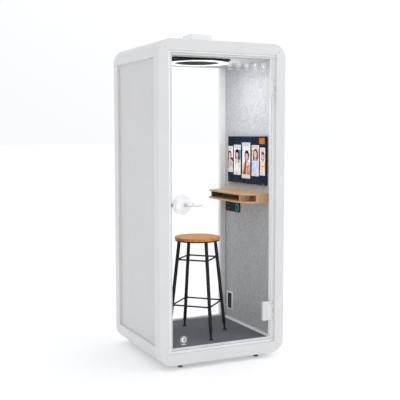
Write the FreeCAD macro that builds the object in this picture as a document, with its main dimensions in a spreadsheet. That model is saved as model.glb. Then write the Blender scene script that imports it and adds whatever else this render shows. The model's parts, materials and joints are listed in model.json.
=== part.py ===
import FreeCAD, Part
import math
import os
import Sketcher

# Single-person photo booth: steel shell with a glass door and a glass back,
# felt-lined cabin, wall display, oak shelf, ring lamp, roof fan and a stool.
# Millimetres, +Z up. Origin: middle of the footprint at floor level.
# Front (door side) faces -Y; the hinges and the fitted wall are at +X.

# ---------------------------------------------------------------- dimensions
DIMS = {
    # shell; front_y places the front face so that the lever and the back are
    # equally far from the origin
    "front_y": -424, "shell_w": 1000, "shell_d": 900,
    "shell_bottom": 35, "shell_top": 2300, "corner_r": 100, "edge_r": 4,
    "skin_t": 2.5, "stile_d": 85, "recess_d": 18, "web_w": 21,
    "panel_bottom": 163, "panel_top": 2178, "panel_t": 2,
    # front and rear openings in the shell
    "open_hw": 425, "open_bottom": 117, "open_top": 2223, "reveal_d": 15,
    # inner frames that carry the door and the back pane
    "jamb_hw": 440, "jamb_bottom": 112, "jamb_top": 2228, "jamb_end": 60,
    "rebate_left": 406, "rebate_right": 420, "rebate_bottom": 133, "rebate_top": 2210,
    "rebate_end": 28, "stop_hw": 389, "stop_bottom": 151, "stop_top": 2197,
    "relief_y": 34, "relief_w": 14,
    "gasket_w": 4.5, "gasket_t": 3,
    "back_hw": 395, "back_bottom": 150, "back_top": 2200,
    "back_start": 825, "back_glass_y": 860, "back_end": 885, "back_rebate": 10,
    # cabin lining
    "cabin_hw": 440, "felt_t": 9, "core_t": 30, "felt_bottom": 132,
    "ceiling_z": 2189, "ceiling_t": 8, "deck_t": 20, "mat_t": 4, "mat_hw": 411,
    "skirt_h": 12.5, "rail_w": 60, "rail_t": 3, "rail_x": 310,
    # door glass, hinges
    "glass_t": 8, "glass_y": 16, "glass_left": 404, "glass_right": 401,
    "glass_bottom": 136, "glass_top": 2207,
    "pivot_x": 410, "pivot_y": 20, "hinge_top_z": 1987, "hinge_low_z": 350,
    "knuckle_r": 8, "pin_r": 4, "pin_gap": 0.06, "knuckle_h": 16, "leaf_h": 48,
    "wing_h": 70, "wing_left": 328, "wing_t": 6, "cap_left": 356, "cap_t": 4,
    # lock and levers
    "rose_x": -317, "rose_z": 1165, "rose_r": 70, "rose_t": 3.5,
    "case_left": -372, "case_right": -269, "case_low": 1117, "case_high": 1203,
    "case_out_t": 14.5, "case_in_t": 20.5, "case_r": 22,
    "spindle_x": -300, "spindle_z": 1162, "spindle_r": 4.5,
    "lever_r": 7, "lever_out_y": -45, "lever_in_y": 95, "lever_len": 101, "collar_r": 14,
    "bolt_h": 18, "bolt_t": 10, "bolt_tip": -401, "bolt_root": -358, "bolt_gap": 0.4,
    # ceiling lamp
    "lamp_left": -335, "lamp_right": 100, "lamp_front": 100, "lamp_back": 534,
    "lamp_plate_t": 12, "lamp_x": -62, "lamp_y": 317, "lamp_r": 234, "lamp_in_r": 163,
    "lamp_body_t": 4, "diffuser_t": 3,
    # roof vent and fan
    "vent_y": 445, "hood_w": 165, "hood_h": 88, "hood_t": 2, "fan_w": 120, "fan_h": 38,
    "fan_bore_r": 56, "rotor_r": 53, "hub_r": 19, "post_r": 3, "post_gap": 0.06,
    # display
    "screen_y0": 141, "screen_y1": 741, "screen_z0": 1269, "screen_z1": 1637,
    "screen_x": 420, "screen_t": 3, "housing_t": 3,
    # shelf
    "shelf_x": 225, "shelf_y0": 125, "shelf_y1": 786, "shelf_z0": 1142, "shelf_z1": 1209,
    "board_t": 12, "top_t": 9, "shelf_r": 115, "end_x": 281, "end_y0": 750, "end_y1": 768,
    "shelf_back_x": 368,
    # wall modules
    "mod_y0": 566, "mod_y1": 653, "mod_y2": 727, "mod_y3": 804,
    "mod_z0": 1027, "mod_z1": 1113, "mod_t": 7, "mod_back": 28,
    "button_y": 610, "button_z": 1066, "button_r": 25.2, "ring_in": 25.6, "ring_out": 28.5,
    # low air inlet
    "inlet_y0": 682, "inlet_y1": 786, "inlet_z0": 212, "inlet_z1": 358, "inlet_t": 6,
    # feet, screws
    "foot_r": 17.5, "foot_h": 8, "stud_r": 5, "foot_y": 77,
    "screw_x": 445.5, "screw_top": 2243, "screw_low": 96, "screw_r": 4.5,
    # stool
    "stool_x": -16, "stool_y": 409, "seat_r": 172, "seat_top": 882, "seat_t": 22,
    "rim_r": 168, "rim_t": 9, "leg_r": 13, "leg_wall": 1.5, "leg_foot_r": 237,
    "leg_top_r": 151.7, "leg_top_z": 849, "pad_r": 17, "pad_h": 6, "floor_z": 136.3,
    "rod_r": 6, "rod_high_z": 715, "rod_low_z": 373,
}

doc = FreeCAD.newDocument("photo_booth")
sheet = doc.addObject("Spreadsheet::Sheet", "Dims")
for row, (alias, value) in enumerate(DIMS.items(), start=1):
    sheet.set("A%d" % row, alias)
    sheet.set("B%d" % row, str(value))
    sheet.setAlias("B%d" % row, alias)
doc.recompute()

nodes = []
D = DIMS
FRONT = D["front_y"]


# ------------------------------------------------------------------- helpers
def expr(text):
    """Expression text: every {alias} becomes a reference to the sheet."""
    text = str(text)
    for alias in DIMS:
        text = text.replace("{" + alias + "}", "Dims." + alias)
    return text


def place(obj, x, y, z):
    """Bind the position of an object to the sheet."""
    obj.setExpression("Placement.Base.x", expr(x))
    obj.setExpression("Placement.Base.y", expr(y))
    obj.setExpression("Placement.Base.z", expr(z))


def depth_y(text):
    """A depth behind the front face, as a Y coordinate."""
    return "{front_y}+" + str(text)


def box(name, xs, ys, zs):
    """Box between two X, two depths behind the front face and two Z."""
    obj = doc.addObject("Part::Box", name)
    obj.setExpression("Length", expr("(%s)-(%s)" % (xs[1], xs[0])))
    obj.setExpression("Width", expr("(%s)-(%s)" % (ys[1], ys[0])))
    obj.setExpression("Height", expr("(%s)-(%s)" % (zs[1], zs[0])))
    place(obj, xs[0], depth_y(ys[0]), zs[0])
    return obj


AXES = {
    "x": FreeCAD.Rotation(FreeCAD.Vector(0, 1, 0), 90),
    "y": FreeCAD.Rotation(FreeCAD.Vector(1, 0, 0), -90),
    "z": FreeCAD.Rotation(),
}


def cylinder(name, axis, radius, length, x, y, z):
    """Cylinder from (x, depth y, z) along +x, +y or +z."""
    obj = doc.addObject("Part::Cylinder", name)
    obj.Placement = FreeCAD.Placement(FreeCAD.Vector(), AXES[axis])
    obj.setExpression("Radius", expr(radius))
    obj.setExpression("Height", expr(length))
    place(obj, x, depth_y(y), z)
    return obj


def sphere(name, radius, x, y, z):
    obj = doc.addObject("Part::Sphere", name)
    obj.setExpression("Radius", expr(radius))
    place(obj, x, depth_y(y), z)
    return obj


def fuse(name, parts):
    obj = doc.addObject("Part::MultiFuse", name)
    obj.Shapes = parts
    obj.Refine = True
    return obj


def common(name, first, second):
    obj = doc.addObject("Part::Common", name)
    obj.Base = first
    obj.Tool = second
    return obj


def cut(name, base, tools):
    """Base minus every tool."""
    obj = doc.addObject("Part::Cut", name)
    obj.Base = base
    obj.Tool = tools[0] if len(tools) == 1 else fuse(name + "_tools", tools)
    obj.Refine = True
    return obj


def group(name, parts):
    """Several separate solids kept as one node."""
    obj = doc.addObject("Part::Compound", name)
    obj.Links = parts
    return obj


def node(obj, label):
    obj.Label = label
    nodes.append(obj)
    return obj


def origin_plane(body, role):
    return [f for f in body.Origin.OriginFeatures if f.Role == role][0]


def rectangle(body, name, plane, width, height):
    """Sketch of a rectangle with one corner at the body's origin."""
    sk = body.newObject("Sketcher::SketchObject", name)
    sk.AttachmentSupport = [(origin_plane(body, plane), "")]
    sk.MapMode = "FlatFace"
    corners = [FreeCAD.Vector(0, 0), FreeCAD.Vector(100, 0), FreeCAD.Vector(100, 100), FreeCAD.Vector(0, 100)]
    for i in range(4):
        sk.addGeometry(Part.LineSegment(corners[i], corners[(i + 1) % 4]), False)
    for i in range(4):
        sk.addConstraint(Sketcher.Constraint("Coincident", i, 2, (i + 1) % 4, 1))
    for i, kind in enumerate(("Horizontal", "Vertical", "Horizontal", "Vertical")):
        sk.addConstraint(Sketcher.Constraint(kind, i))
    sk.addConstraint(Sketcher.Constraint("Coincident", 0, 1, -1, 1))
    wide = sk.addConstraint(Sketcher.Constraint("DistanceX", 0, 1, 0, 2, 100))
    tall = sk.addConstraint(Sketcher.Constraint("DistanceY", 1, 1, 1, 2, 100))
    sk.renameConstraint(wide, "wide")
    sk.renameConstraint(tall, "tall")
    sk.setExpression("Constraints.wide", expr(width))
    sk.setExpression("Constraints.tall", expr(height))
    return sk


def edge_names(shape, test):
    return ["Edge%d" % i for i, e in enumerate(shape.Edges, start=1) if test(e)]


def along(edge, axis):
    """True for a straight edge along one axis."""
    if not isinstance(edge.Curve, (Part.Line, Part.LineSegment)):
        return False
    d = edge.Vertexes[-1].Point - edge.Vertexes[0].Point
    return abs(abs(getattr(d, axis)) - d.Length) < 1e-6


def round_edges(body, feature, name, radius, names):
    fil = body.newObject("PartDesign::Fillet", name)
    fil.Base = (feature, names)
    fil.setExpression("Radius", expr(radius))
    doc.recompute()
    return fil


def slab(name, xs, ys, zs, radius, soft=None, soft_back=None):
    """Plate whose outline in X-Z has rounded corners, thick along Y.

    soft rounds the outline's front edge, soft_back its back edge.
    """
    body = doc.addObject("PartDesign::Body", name)
    sk = rectangle(body, name + "_outline", "XZ_Plane",
                   "(%s)-(%s)" % (xs[1], xs[0]), "(%s)-(%s)" % (zs[1], zs[0]))
    pad = body.newObject("PartDesign::Pad", name + "_pad")
    pad.Profile = sk
    pad.Reversed = True
    pad.setExpression("Length", expr("(%s)-(%s)" % (ys[1], ys[0])))
    doc.recompute()
    last = round_edges(body, pad, name + "_corners", radius, edge_names(pad.Shape, lambda e: along(e, "y")))
    deep = pad.Shape.BoundBox.YMax
    for size, level in ((soft, 0.0), (soft_back, deep)):
        if size is None:
            continue
        names = edge_names(last.Shape, lambda e: all(abs(v.Point.y - level) < 1e-6 for v in e.Vertexes))
        last = round_edges(body, last, "%s_soft%d" % (name, int(level)), size, names)
    body.Tip = last
    place(body, xs[0], depth_y(ys[0]), zs[0])
    return body


def board(name, xs, ys, zs, radius):
    """Shelf board: corners at its low-X edge rounded in plan."""
    body = doc.addObject("PartDesign::Body", name)
    sk = rectangle(body, name + "_plan", "XY_Plane",
                   "(%s)-(%s)" % (xs[1], xs[0]), "(%s)-(%s)" % (ys[1], ys[0]))
    pad = body.newObject("PartDesign::Pad", name + "_pad")
    pad.Profile = sk
    pad.setExpression("Length", expr("(%s)-(%s)" % (zs[1], zs[0])))
    doc.recompute()
    names = edge_names(pad.Shape, lambda e: along(e, "z") and abs(e.Vertexes[0].Point.x) < 1e-6)
    body.Tip = round_edges(body, pad, name + "_corners", radius, names)
    place(body, xs[0], depth_y(ys[0]), zs[0])
    return body


def outline_ring(name, hw_out, z_out, hw_in, z_in, ys):
    """Square-cornered ring in X-Z, thick along Y."""
    outer = box(name + "_outer", ("-" + hw_out, hw_out), ys, z_out)
    inner = box(name + "_inner", ("-" + hw_in, hw_in), (ys[0] + "-5", ys[1] + "+5"), z_in)
    return cut(name, outer, [inner])


# --------------------------------------------------------------- outer shell
HALF = "{shell_w}/2"


def shell_block(name, y0, y1, z0, z1, inset, soft=None, soft_back=None):
    """Rounded block with the shell's outline, set in by a number of skins."""
    side = HALF + "-" + inset
    radius = "{corner_r}-" + inset
    return slab(name, ("-{shell_w}/2+" + inset, side), (y0, y1),
                (z0 + "+" + inset, z1 + "-" + inset), radius, soft, soft_back)


def end_frame(name, front):
    """Folded-steel frame at one end of the shell, hollow, open towards the middle."""
    start, end = ("0", "{stile_d}") if front else ("{shell_d}-{stile_d}", "{shell_d}")
    z_range = ("{shell_bottom}", "{shell_top}")
    edge = "{edge_r}"
    outer = shell_block(name + "_solid", start, end, *z_range, "0",
                        edge if front else None, None if front else edge)
    hollow = shell_block(name + "_hollow", start + "+{skin_t}", end + "-{skin_t}", *z_range, "{skin_t}")
    throat_block = shell_block(name + "_throat_block", start + "+40" if front else start + "-5",
                               end + "+5" if front else end + "-40", *z_range, "{skin_t}")
    throat_box = box(name + "_throat_box", ("-{shell_w}/2+{web_w}", "{shell_w}/2-{web_w}"),
                     (start + "-10", end + "+10"), ("0", "{shell_top}+10"))
    throat = common(name + "_throat", throat_block, throat_box)
    lip_ys = ("0", "{reveal_d}") if front else ("{shell_d}-{reveal_d}", "{shell_d}")
    lip = box(name + "_lip", ("-{open_hw}-{skin_t}", "{open_hw}+{skin_t}"),
              lip_ys, ("{open_bottom}-{skin_t}", "{open_top}+{skin_t}"))
    doorway = box(name + "_doorway", ("-{open_hw}", "{open_hw}"), (start + "-5", end + "+5"),
                  ("{open_bottom}", "{open_top}"))
    tools = [throat, doorway]
    foot_y = "{foot_y}" if front else "{shell_d}-{foot_y}"
    for side in ("-", ""):
        tools.append(cylinder(name + "_stud_hole" + ("l" if side else "r"), "z", "{stud_r}+2", "20",
                              side + "{rail_x}", foot_y, "{shell_bottom}-5"))
        for tag, z in (("t", "{screw_top}"), ("b", "{screw_low}")):
            hole_y = "-2" if front else "{shell_d}-{skin_t}-1"
            hole_r = "2.6" if front else "{screw_r}"
            tools.append(cylinder(name + "_screw_hole" + ("l" if side else "r") + tag, "y",
                                  hole_r, "{skin_t}+3", side + "{screw_x}", hole_y, z))
    if not front:
        tools.append(box(name + "_power_hole", ("370", "418"), ("{shell_d}-5", "{shell_d}+5"), ("62", "90")))
    walls = cut(name + "_walls", outer, [hollow])
    return cut(name, fuse(name + "_lipped", [walls, lip]), tools)


node(end_frame("front_frame", True), "front_frame")
node(end_frame("rear_frame", False), "rear_frame")

MID = ("{stile_d}", "{shell_d}-{stile_d}")


def cover(name, roof):
    """Roof or base sheet: outline of the shell, flanged where the side panels start."""
    z0 = "{shell_top}-400" if roof else "{shell_bottom}"
    z1 = "{shell_top}" if roof else "{shell_bottom}+400"
    outer = shell_block(name + "_outer", MID[0], MID[1], z0, z1, "0")
    inner = shell_block(name + "_inner", MID[0] + "-5", MID[1] + "+5", z0, z1, "{skin_t}")
    tools = [inner]
    limit = ("{shell_top}-500", "{panel_top}") if roof else ("{panel_bottom}", "{shell_bottom}+500")
    tools.append(box(name + "_trim", ("-600", "600"), (MID[0] + "-5", MID[1] + "+5"), limit))
    sheet_part = cut(name + "_sheet", outer, tools)
    flange_z = ("{panel_top}", "{panel_top}+{skin_t}") if roof else ("{panel_bottom}-{skin_t}", "{panel_bottom}")
    flanges = [
        box(name + "_flange_l", ("-{shell_w}/2", "-{shell_w}/2+{web_w}"), MID, flange_z),
        box(name + "_flange_r", ("{shell_w}/2-{web_w}", "{shell_w}/2"), MID, flange_z),
    ]
    return fuse(name + ("_flanged" if roof else ""), [sheet_part] + flanges)


roof_sheet = cover("roof_panel", True)
roof_hole = cylinder("roof_fan_hole", "z", "{fan_bore_r}", "20", "0", "{vent_y}", "{shell_top}-10")
node(cut("roof_panel_cut", roof_sheet, [roof_hole]), "roof_panel")
node(cover("base_panel", False), "base_panel")

for side, name in (("-", "side_panel_left"), ("", "side_panel_right")):
    face = "{shell_w}/2-{recess_d}"
    xs = ("-{shell_w}/2+{recess_d}", "-{shell_w}/2+{recess_d}+{panel_t}") if side else (face + "-{panel_t}", face)
    node(box(name, xs, MID, ("{panel_bottom}", "{panel_top}")), name)

# base rails, hollow section, carry the deck and take the feet
rails = []
for tag, side in (("l", "-"), ("r", "")):
    centre = side + "{rail_x}"
    low, high = "{shell_bottom}+{skin_t}", "{jamb_bottom}"
    outer = box("rail_" + tag, (centre + "-{rail_w}/2", centre + "+{rail_w}/2"), ("20", "880"), (low, high))
    inner = box("rail_bore_" + tag, (centre + "-{rail_w}/2+{rail_t}", centre + "+{rail_w}/2-{rail_t}"),
                ("15", "885"), (low + "+{rail_t}", high + "-{rail_t}"))
    holes = [cylinder("rail_hole_%s%d" % (tag, i), "z", "{stud_r}", "10", centre, y, "{shell_bottom}")
             for i, y in enumerate(("{foot_y}", "{shell_d}-{foot_y}"))]
    rails.append(cut("base_rail_" + tag, outer, [inner] + holes))
node(group("base_rails_pair", rails), "base_rails")

feet = []
for tag, x, y in (("fl", "-{rail_x}", "{foot_y}"), ("fr", "{rail_x}", "{foot_y}"),
                  ("rl", "-{rail_x}", "{shell_d}-{foot_y}"), ("rr", "{rail_x}", "{shell_d}-{foot_y}")):
    disc = cylinder("foot_disc_" + tag, "z", "{foot_r}", "{foot_h}", x, y, "0")
    neck = cylinder("foot_neck_" + tag, "z", "{stud_r}+4", "5", x, y, "{foot_h}")
    stud = cylinder("foot_stud_" + tag, "z", "{stud_r}", "50", x, y, "{foot_h}")
    feet.append(fuse("foot_" + tag, [disc, neck, stud]))
node(group("feet_four", feet), "levelling_feet")

screws = []
for tag, x in (("l", "-{screw_x}"), ("r", "{screw_x}")):
    for level, z in (("t", "{screw_top}"), ("b", "{screw_low}")):
        head = cylinder("screw_head_%s%s" % (tag, level), "y", "{screw_r}", "1", x, "-1", z)
        shank = cylinder("screw_shank_%s%s" % (tag, level), "y", "2.5", "12.5", x, "-0.5", z)
        screws.append(fuse("screw_front_%s%s" % (tag, level), [head, shank]))
        screws.append(cylinder("screw_rear_%s%s" % (tag, level), "y", "{screw_r}", "12",
                               x, "{shell_d}-12", z))
node(group("screws_eight", screws), "frame_screws")

# ------------------------------------------------------------- cabin lining
CABIN = ("{jamb_end}", "{back_start}")
WALL_Z = ("{felt_bottom}", "{ceiling_z}")
CEILING_TOP = "{ceiling_z}+{ceiling_t}"

module_hole = box("module_hole", ("{cabin_hw}-5", "{cabin_hw}+{mod_back}+2"), ("{mod_y0}+8", "{mod_y3}-7"),
                  ("{mod_z0}+7", "{mod_z1}-7"))
inlet_hole = box("inlet_hole", ("{cabin_hw}-5", "{cabin_hw}+{felt_t}"), ("{inlet_y0}+23", "{inlet_y1}-22"),
                 ("{inlet_z0}+11", "{inlet_z1}-16"))
felt_r = box("felt_right", ("{cabin_hw}", "{cabin_hw}+{felt_t}"), CABIN, WALL_Z)
felt_l = box("felt_left", ("-{cabin_hw}-{felt_t}", "-{cabin_hw}"), CABIN, WALL_Z)
node(cut("felt_right_cut", felt_r, [module_hole, inlet_hole]), "felt_wall_right")
node(felt_l, "felt_wall_left")

core_z = ("{jamb_bottom}", CEILING_TOP)
core_l = box("core_left", ("-{cabin_hw}-{felt_t}-{core_t}", "-{cabin_hw}-{felt_t}"), CABIN, core_z)
core_r = box("core_right", ("{cabin_hw}+{felt_t}", "{cabin_hw}+{felt_t}+{core_t}"), CABIN, core_z)
core_pocket = box("core_pocket", ("{cabin_hw}", "{cabin_hw}+{mod_back}+2"), ("{mod_y0}+8", "{mod_y3}-7"),
                  ("{mod_z0}+7", "{mod_z1}-7"))
node(group("cores_pair", [core_l, cut("core_right_cut", core_r, [core_pocket])]), "wall_cores")

INNER = ("-{cabin_hw}-{felt_t}", "{cabin_hw}+{felt_t}")
node(box("floor_deck", INNER, CABIN, ("{jamb_bottom}", "{felt_bottom}")), "floor_deck")
node(box("floor_mat", ("-{mat_hw}", "{mat_hw}"), CABIN, ("{felt_bottom}", "{felt_bottom}+{mat_t}")), "floor_mat")

ceiling = box("ceiling_sheet", INNER, CABIN, ("{ceiling_z}", CEILING_TOP))
slots = [box("ceiling_slot_%d" % i, ("-75", "75"), (str(620 + 24 * i), str(630 + 24 * i)),
             ("{ceiling_z}-5", CEILING_TOP + "+5")) for i in range(6)]
node(cut("ceiling_cut", ceiling, slots), "ceiling_panel")


def wedge_strip(name, mirror):
    """Skirting: low at the mat, rising to the wall."""
    body = doc.addObject("PartDesign::Body", name)
    width, high = "{cabin_hw}-{mat_hw}", "{skirt_h}"
    sk = rectangle(body, name + "_profile", "XZ_Plane", width, high)
    pad = body.newObject("PartDesign::Pad", name + "_pad")
    pad.Profile = sk
    pad.Reversed = True
    pad.setExpression("Length", expr("{back_start}-{jamb_end}"))
    doc.recompute()
    low_side = pad.Shape.BoundBox.XMax if mirror else 0.0
    names = edge_names(pad.Shape, lambda e: along(e, "y") and e.Vertexes[0].Point.z > 1
                       and abs(e.Vertexes[0].Point.x - low_side) < 1e-6)
    cham = body.newObject("PartDesign::Chamfer", name + "_slope")
    cham.Base = (pad, names)
    cham.setExpression("Size", expr("{skirt_h}-{mat_t}"))
    doc.recompute()
    body.Tip = cham
    place(body, "-{cabin_hw}" if mirror else "{mat_hw}", depth_y("{jamb_end}"), "{felt_bottom}")
    return body


node(group("skirting_pair", [wedge_strip("skirting_l", True), wedge_strip("skirting_r", False)]),
     "skirting_strips")

# -------------------------------------------------- door frame, seals, strike
JAMB_Z = ("{jamb_bottom}", "{jamb_top}")
jamb = box("jamb_block", ("-{jamb_hw}", "{jamb_hw}"), ("{reveal_d}", "{jamb_end}"), JAMB_Z)
rebate = box("jamb_rebate", ("-{rebate_left}", "{rebate_right}"), ("{reveal_d}-5", "{rebate_end}"),
             ("{rebate_bottom}", "{rebate_top}"))
stop_hole = box("jamb_hole", ("-{stop_hw}", "{stop_hw}"), ("{reveal_d}-5", "{jamb_end}+5"),
                ("{stop_bottom}", "{stop_top}"))
# the hinge side and the sill step back behind the stop; the lock side keeps its depth
relief = box("jamb_relief", ("-{stop_hw}", "{stop_hw}+{relief_w}"), ("{relief_y}", "{jamb_end}+5"),
             ("{stop_bottom}-{relief_w}", "{stop_top}"))
latch_pocket = box("latch_pocket", ("-{glass_left}", "-{stop_hw}+5"), ("{rebate_end}-5", "46"),
                   ("{spindle_z}-12", "{spindle_z}+12"))
node(cut("jamb_cut", jamb, [rebate, stop_hole, relief, latch_pocket]), "door_frame")

node(outline_ring("reveal_gasket", "{open_hw}", ("{open_bottom}", "{open_top}"),
                  "({open_hw}-{gasket_w})", ("{open_bottom}+{gasket_w}", "{open_top}-{gasket_w}"),
                  ("{reveal_d}-{gasket_t}", "{reveal_d}")), "frame_gasket")

seal = outline_ring("seal_ring", "({glass_left}-2)", ("{glass_bottom}+1", "{glass_top}-1"),
                    "({stop_hw}+2)", ("{stop_bottom}+2", "{stop_top}-2"),
                    ("{glass_y}+{glass_t}+0.4", "{rebate_end}"))
seal_gap = box("seal_gap", ("-{rebate_left}", "-{stop_hw}+5"), ("{glass_y}", "{rebate_end}+5"),
               ("{spindle_z}-14", "{spindle_z}+14"))
node(cut("seal_cut", seal, [seal_gap]), "door_seal")

plate = box("strike_blank", ("-{stop_hw}", "-{stop_hw}+1.5"), ("31", "59"),
            ("{spindle_z}-37", "{spindle_z}+37"))
notch = box("strike_notch", ("-{stop_hw}-5", "-{stop_hw}+5"), ("20", "46.5"),
            ("{spindle_z}-13", "{spindle_z}+13"))
node(cut("strike_cut", plate, [notch]), "strike_plate")

# ------------------------------------------------------------------- hinges
leaves, wings, backs = [], [], []
for tag, zc in (("u", "{hinge_top_z}"), ("d", "{hinge_low_z}")):
    solids = [cylinder("hinge_pin_" + tag, "z", "{pin_r}", "2*{leaf_h}", "{pivot_x}", "{pivot_y}",
                       zc + "-{leaf_h}")]
    for end, z in (("a", zc + "-{leaf_h}"), ("b", zc + "+{knuckle_h}+0.5")):
        tall = "{leaf_h}-{knuckle_h}-0.5"
        solids.append(cylinder("leaf_barrel_%s%s" % (tag, end), "z", "{knuckle_r}", tall,
                               "{pivot_x}", "{pivot_y}", z))
        solids.append(box("leaf_block_%s%s" % (tag, end), ("{pivot_x}", "{rebate_right}"),
                          ("{pivot_y}-{knuckle_r}", "{rebate_end}"), (z, z + "+" + tall)))
    leaves.append(fuse("hinge_leaf_" + tag, solids))

    wing = slab("wing_plate_" + tag, ("{wing_left}", "{pivot_x}-10"), ("{glass_y}-{wing_t}", "{glass_y}"),
                (zc + "-{wing_h}", zc + "+{wing_h}"), "8", "1.5")
    cap = slab("wing_cap_" + tag, ("{cap_left}", "{pivot_x}-10.5"),
               ("{glass_y}-{wing_t}-{cap_t}", "{glass_y}-2"), (zc + "-{leaf_h}", zc + "+{leaf_h}"), "7", "2.5")
    arm = box("wing_arm_" + tag, ("{pivot_x}-11", "{pivot_x}"), ("{pivot_y}-{knuckle_r}", "{glass_y}"),
              (zc + "-{knuckle_h}", zc + "+{knuckle_h}"))
    barrel = cylinder("wing_barrel_" + tag, "z", "{knuckle_r}", "2*{knuckle_h}", "{pivot_x}", "{pivot_y}",
                      zc + "-{knuckle_h}")
    bore = cylinder("wing_bore_" + tag, "z", "{pin_r}+{pin_gap}", "2*{knuckle_h}+10",
                    "{pivot_x}", "{pivot_y}", zc + "-{knuckle_h}-5")
    wings.append(cut("hinge_wing_" + tag, fuse("wing_solid_" + tag, [wing, cap, arm, barrel]), [bore]))

    back = slab("wing_back_" + tag, ("{wing_left}", "{stop_hw}-3"),
                ("{glass_y}+{glass_t}", "{glass_y}+{glass_t}+{wing_t}"),
                (zc + "-{wing_h}", zc + "+{wing_h}"), "8", None, "1.5")
    posts = [cylinder("clamp_post_%s%d" % (tag, i), "y", "5", "{glass_t}+1", "{wing_left}+29",
                      "{glass_y}", zc + step) for i, step in enumerate(("-40", "+40"))]
    backs.append(fuse("hinge_back_" + tag, [back] + posts))
node(group("leaves_pair", leaves), "hinge_leaves")
node(group("wings_pair", wings), "hinge_wings")
node(group("backs_pair", backs), "hinge_back_plates")

# --------------------------------------------------------- door glass, lock
glass = slab("door_pane", ("-{glass_left}", "{glass_right}"), ("{glass_y}", "{glass_y}+{glass_t}"),
             ("{glass_bottom}", "{glass_top}"), "4")
pane_holes = [cylinder("pane_spindle_hole", "y", "15", "{glass_t}+10", "{spindle_x}", "{glass_y}-5",
                       "{spindle_z}")]
for tag, zc in (("u", "{hinge_top_z}"), ("d", "{hinge_low_z}")):
    for i, step in enumerate(("-40", "+40")):
        pane_holes.append(cylinder("pane_hole_%s%d" % (tag, i), "y", "5.5", "{glass_t}+10",
                                   "{wing_left}+29", "{glass_y}-5", zc + step))
node(cut("door_pane_cut", glass, pane_holes), "door_glass")

GLASS_BACK = "{glass_y}+{glass_t}"
roses = []
for tag, y in (("out", "{glass_y}-{rose_t}"), ("in", GLASS_BACK)):
    disc = cylinder("rose_disc_" + tag, "y", "{rose_r}", "{rose_t}", "{rose_x}", y, "{rose_z}")
    bore = cylinder("rose_bore_" + tag, "y", "15", "{rose_t}+10", "{spindle_x}", y + "-5", "{spindle_z}")
    roses.append(cut("rose_" + tag, disc, [bore]))
node(group("roses_pair", roses), "lock_roses")

CASE_X = ("{case_left}", "{case_right}")
CASE_Z = ("{case_low}", "{case_high}")
CASE_OUT = ("{glass_y}-{rose_t}-{case_out_t}", "{glass_y}-{rose_t}")
CASE_IN = (GLASS_BACK + "+{rose_t}", GLASS_BACK + "+{rose_t}+{case_in_t}")
case_out = slab("case_out_solid", CASE_X, CASE_OUT, CASE_Z, "{case_r}", "4")
case_in = slab("case_in_solid", CASE_X, CASE_IN, CASE_Z, "{case_r}", None, "4")
bore_out = cylinder("case_bore_out", "y", "{spindle_r}+0.08", "40", "{spindle_x}", CASE_OUT[0] + "-5",
                    "{spindle_z}")
bore_in = cylinder("case_bore_in", "y", "{spindle_r}+0.08", "40", "{spindle_x}", CASE_IN[0] + "-5",
                   "{spindle_z}")
channel = box("bolt_channel", ("{case_left}-5", "{bolt_root}+13"),
              ("39-{bolt_t}/2-{bolt_gap}", "39+{bolt_t}/2+{bolt_gap}"),
              ("{spindle_z}-{bolt_h}/2-{bolt_gap}", "{spindle_z}+{bolt_h}/2+{bolt_gap}"))
node(cut("case_out_cut", case_out, [bore_out]), "lock_case_outer")
node(cut("case_in_cut", case_in, [bore_in, channel]), "lock_case_inner")


def lever(name, face, bar_y, outwards):
    """Collar, neck and horizontal bar with rounded ends."""
    low, high = (bar_y, face) if outwards else (face, bar_y)
    collar_y = face + "-9" if outwards else face
    parts = [
        cylinder(name + "_collar", "y", "{collar_r}", "9", "{spindle_x}", collar_y, "{spindle_z}"),
        cylinder(name + "_neck", "y", "{lever_r}", "(%s)-(%s)" % (high, low), "{spindle_x}", low,
                 "{spindle_z}"),
        sphere(name + "_elbow", "{lever_r}", "{spindle_x}", bar_y, "{spindle_z}"),
        cylinder(name + "_bar", "x", "{lever_r}", "{lever_len}", "{spindle_x}", bar_y, "{spindle_z}"),
        sphere(name + "_tip", "{lever_r}", "{spindle_x}+{lever_len}", bar_y, "{spindle_z}"),
    ]
    return parts


spindle = cylinder("spindle", "y", "{spindle_r}", "80", "{spindle_x}", "-10", "{spindle_z}")
outer_parts = lever("lever_out", "(" + CASE_OUT[0] + "-0.5)", "{lever_out_y}", True)
node(fuse("lever_out_fused", outer_parts + [spindle]), "lever_outer")
inner_parts = lever("lever_in", "(" + CASE_IN[1] + "+0.5)", "{lever_in_y}", False)
socket = cylinder("lever_in_socket", "y", "{spindle_r}", "40", "{spindle_x}", "30", "{spindle_z}")
node(cut("lever_in_cut", fuse("lever_in_fused", inner_parts), [socket]), "lever_inner")

bolt = box("bolt_bar", ("{bolt_tip}", "{bolt_root}"), ("39-{bolt_t}/2", "39+{bolt_t}/2"),
           ("{spindle_z}-{bolt_h}/2", "{spindle_z}+{bolt_h}/2"))
bevel = doc.addObject("Part::Box", "bolt_bevel")
bevel.Length, bevel.Width = 20, 20
bevel.setExpression("Height", expr("{bolt_h}+10"))
bevel.Placement.Rotation = FreeCAD.Rotation(FreeCAD.Vector(0, 0, 1), 45)
place(bevel, "{bolt_tip}", depth_y("39-{bolt_t}/2+3"), "{spindle_z}-{bolt_h}/2-5")
node(cut("bolt_cut", bolt, [bevel]), "latch_bolt")

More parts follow.
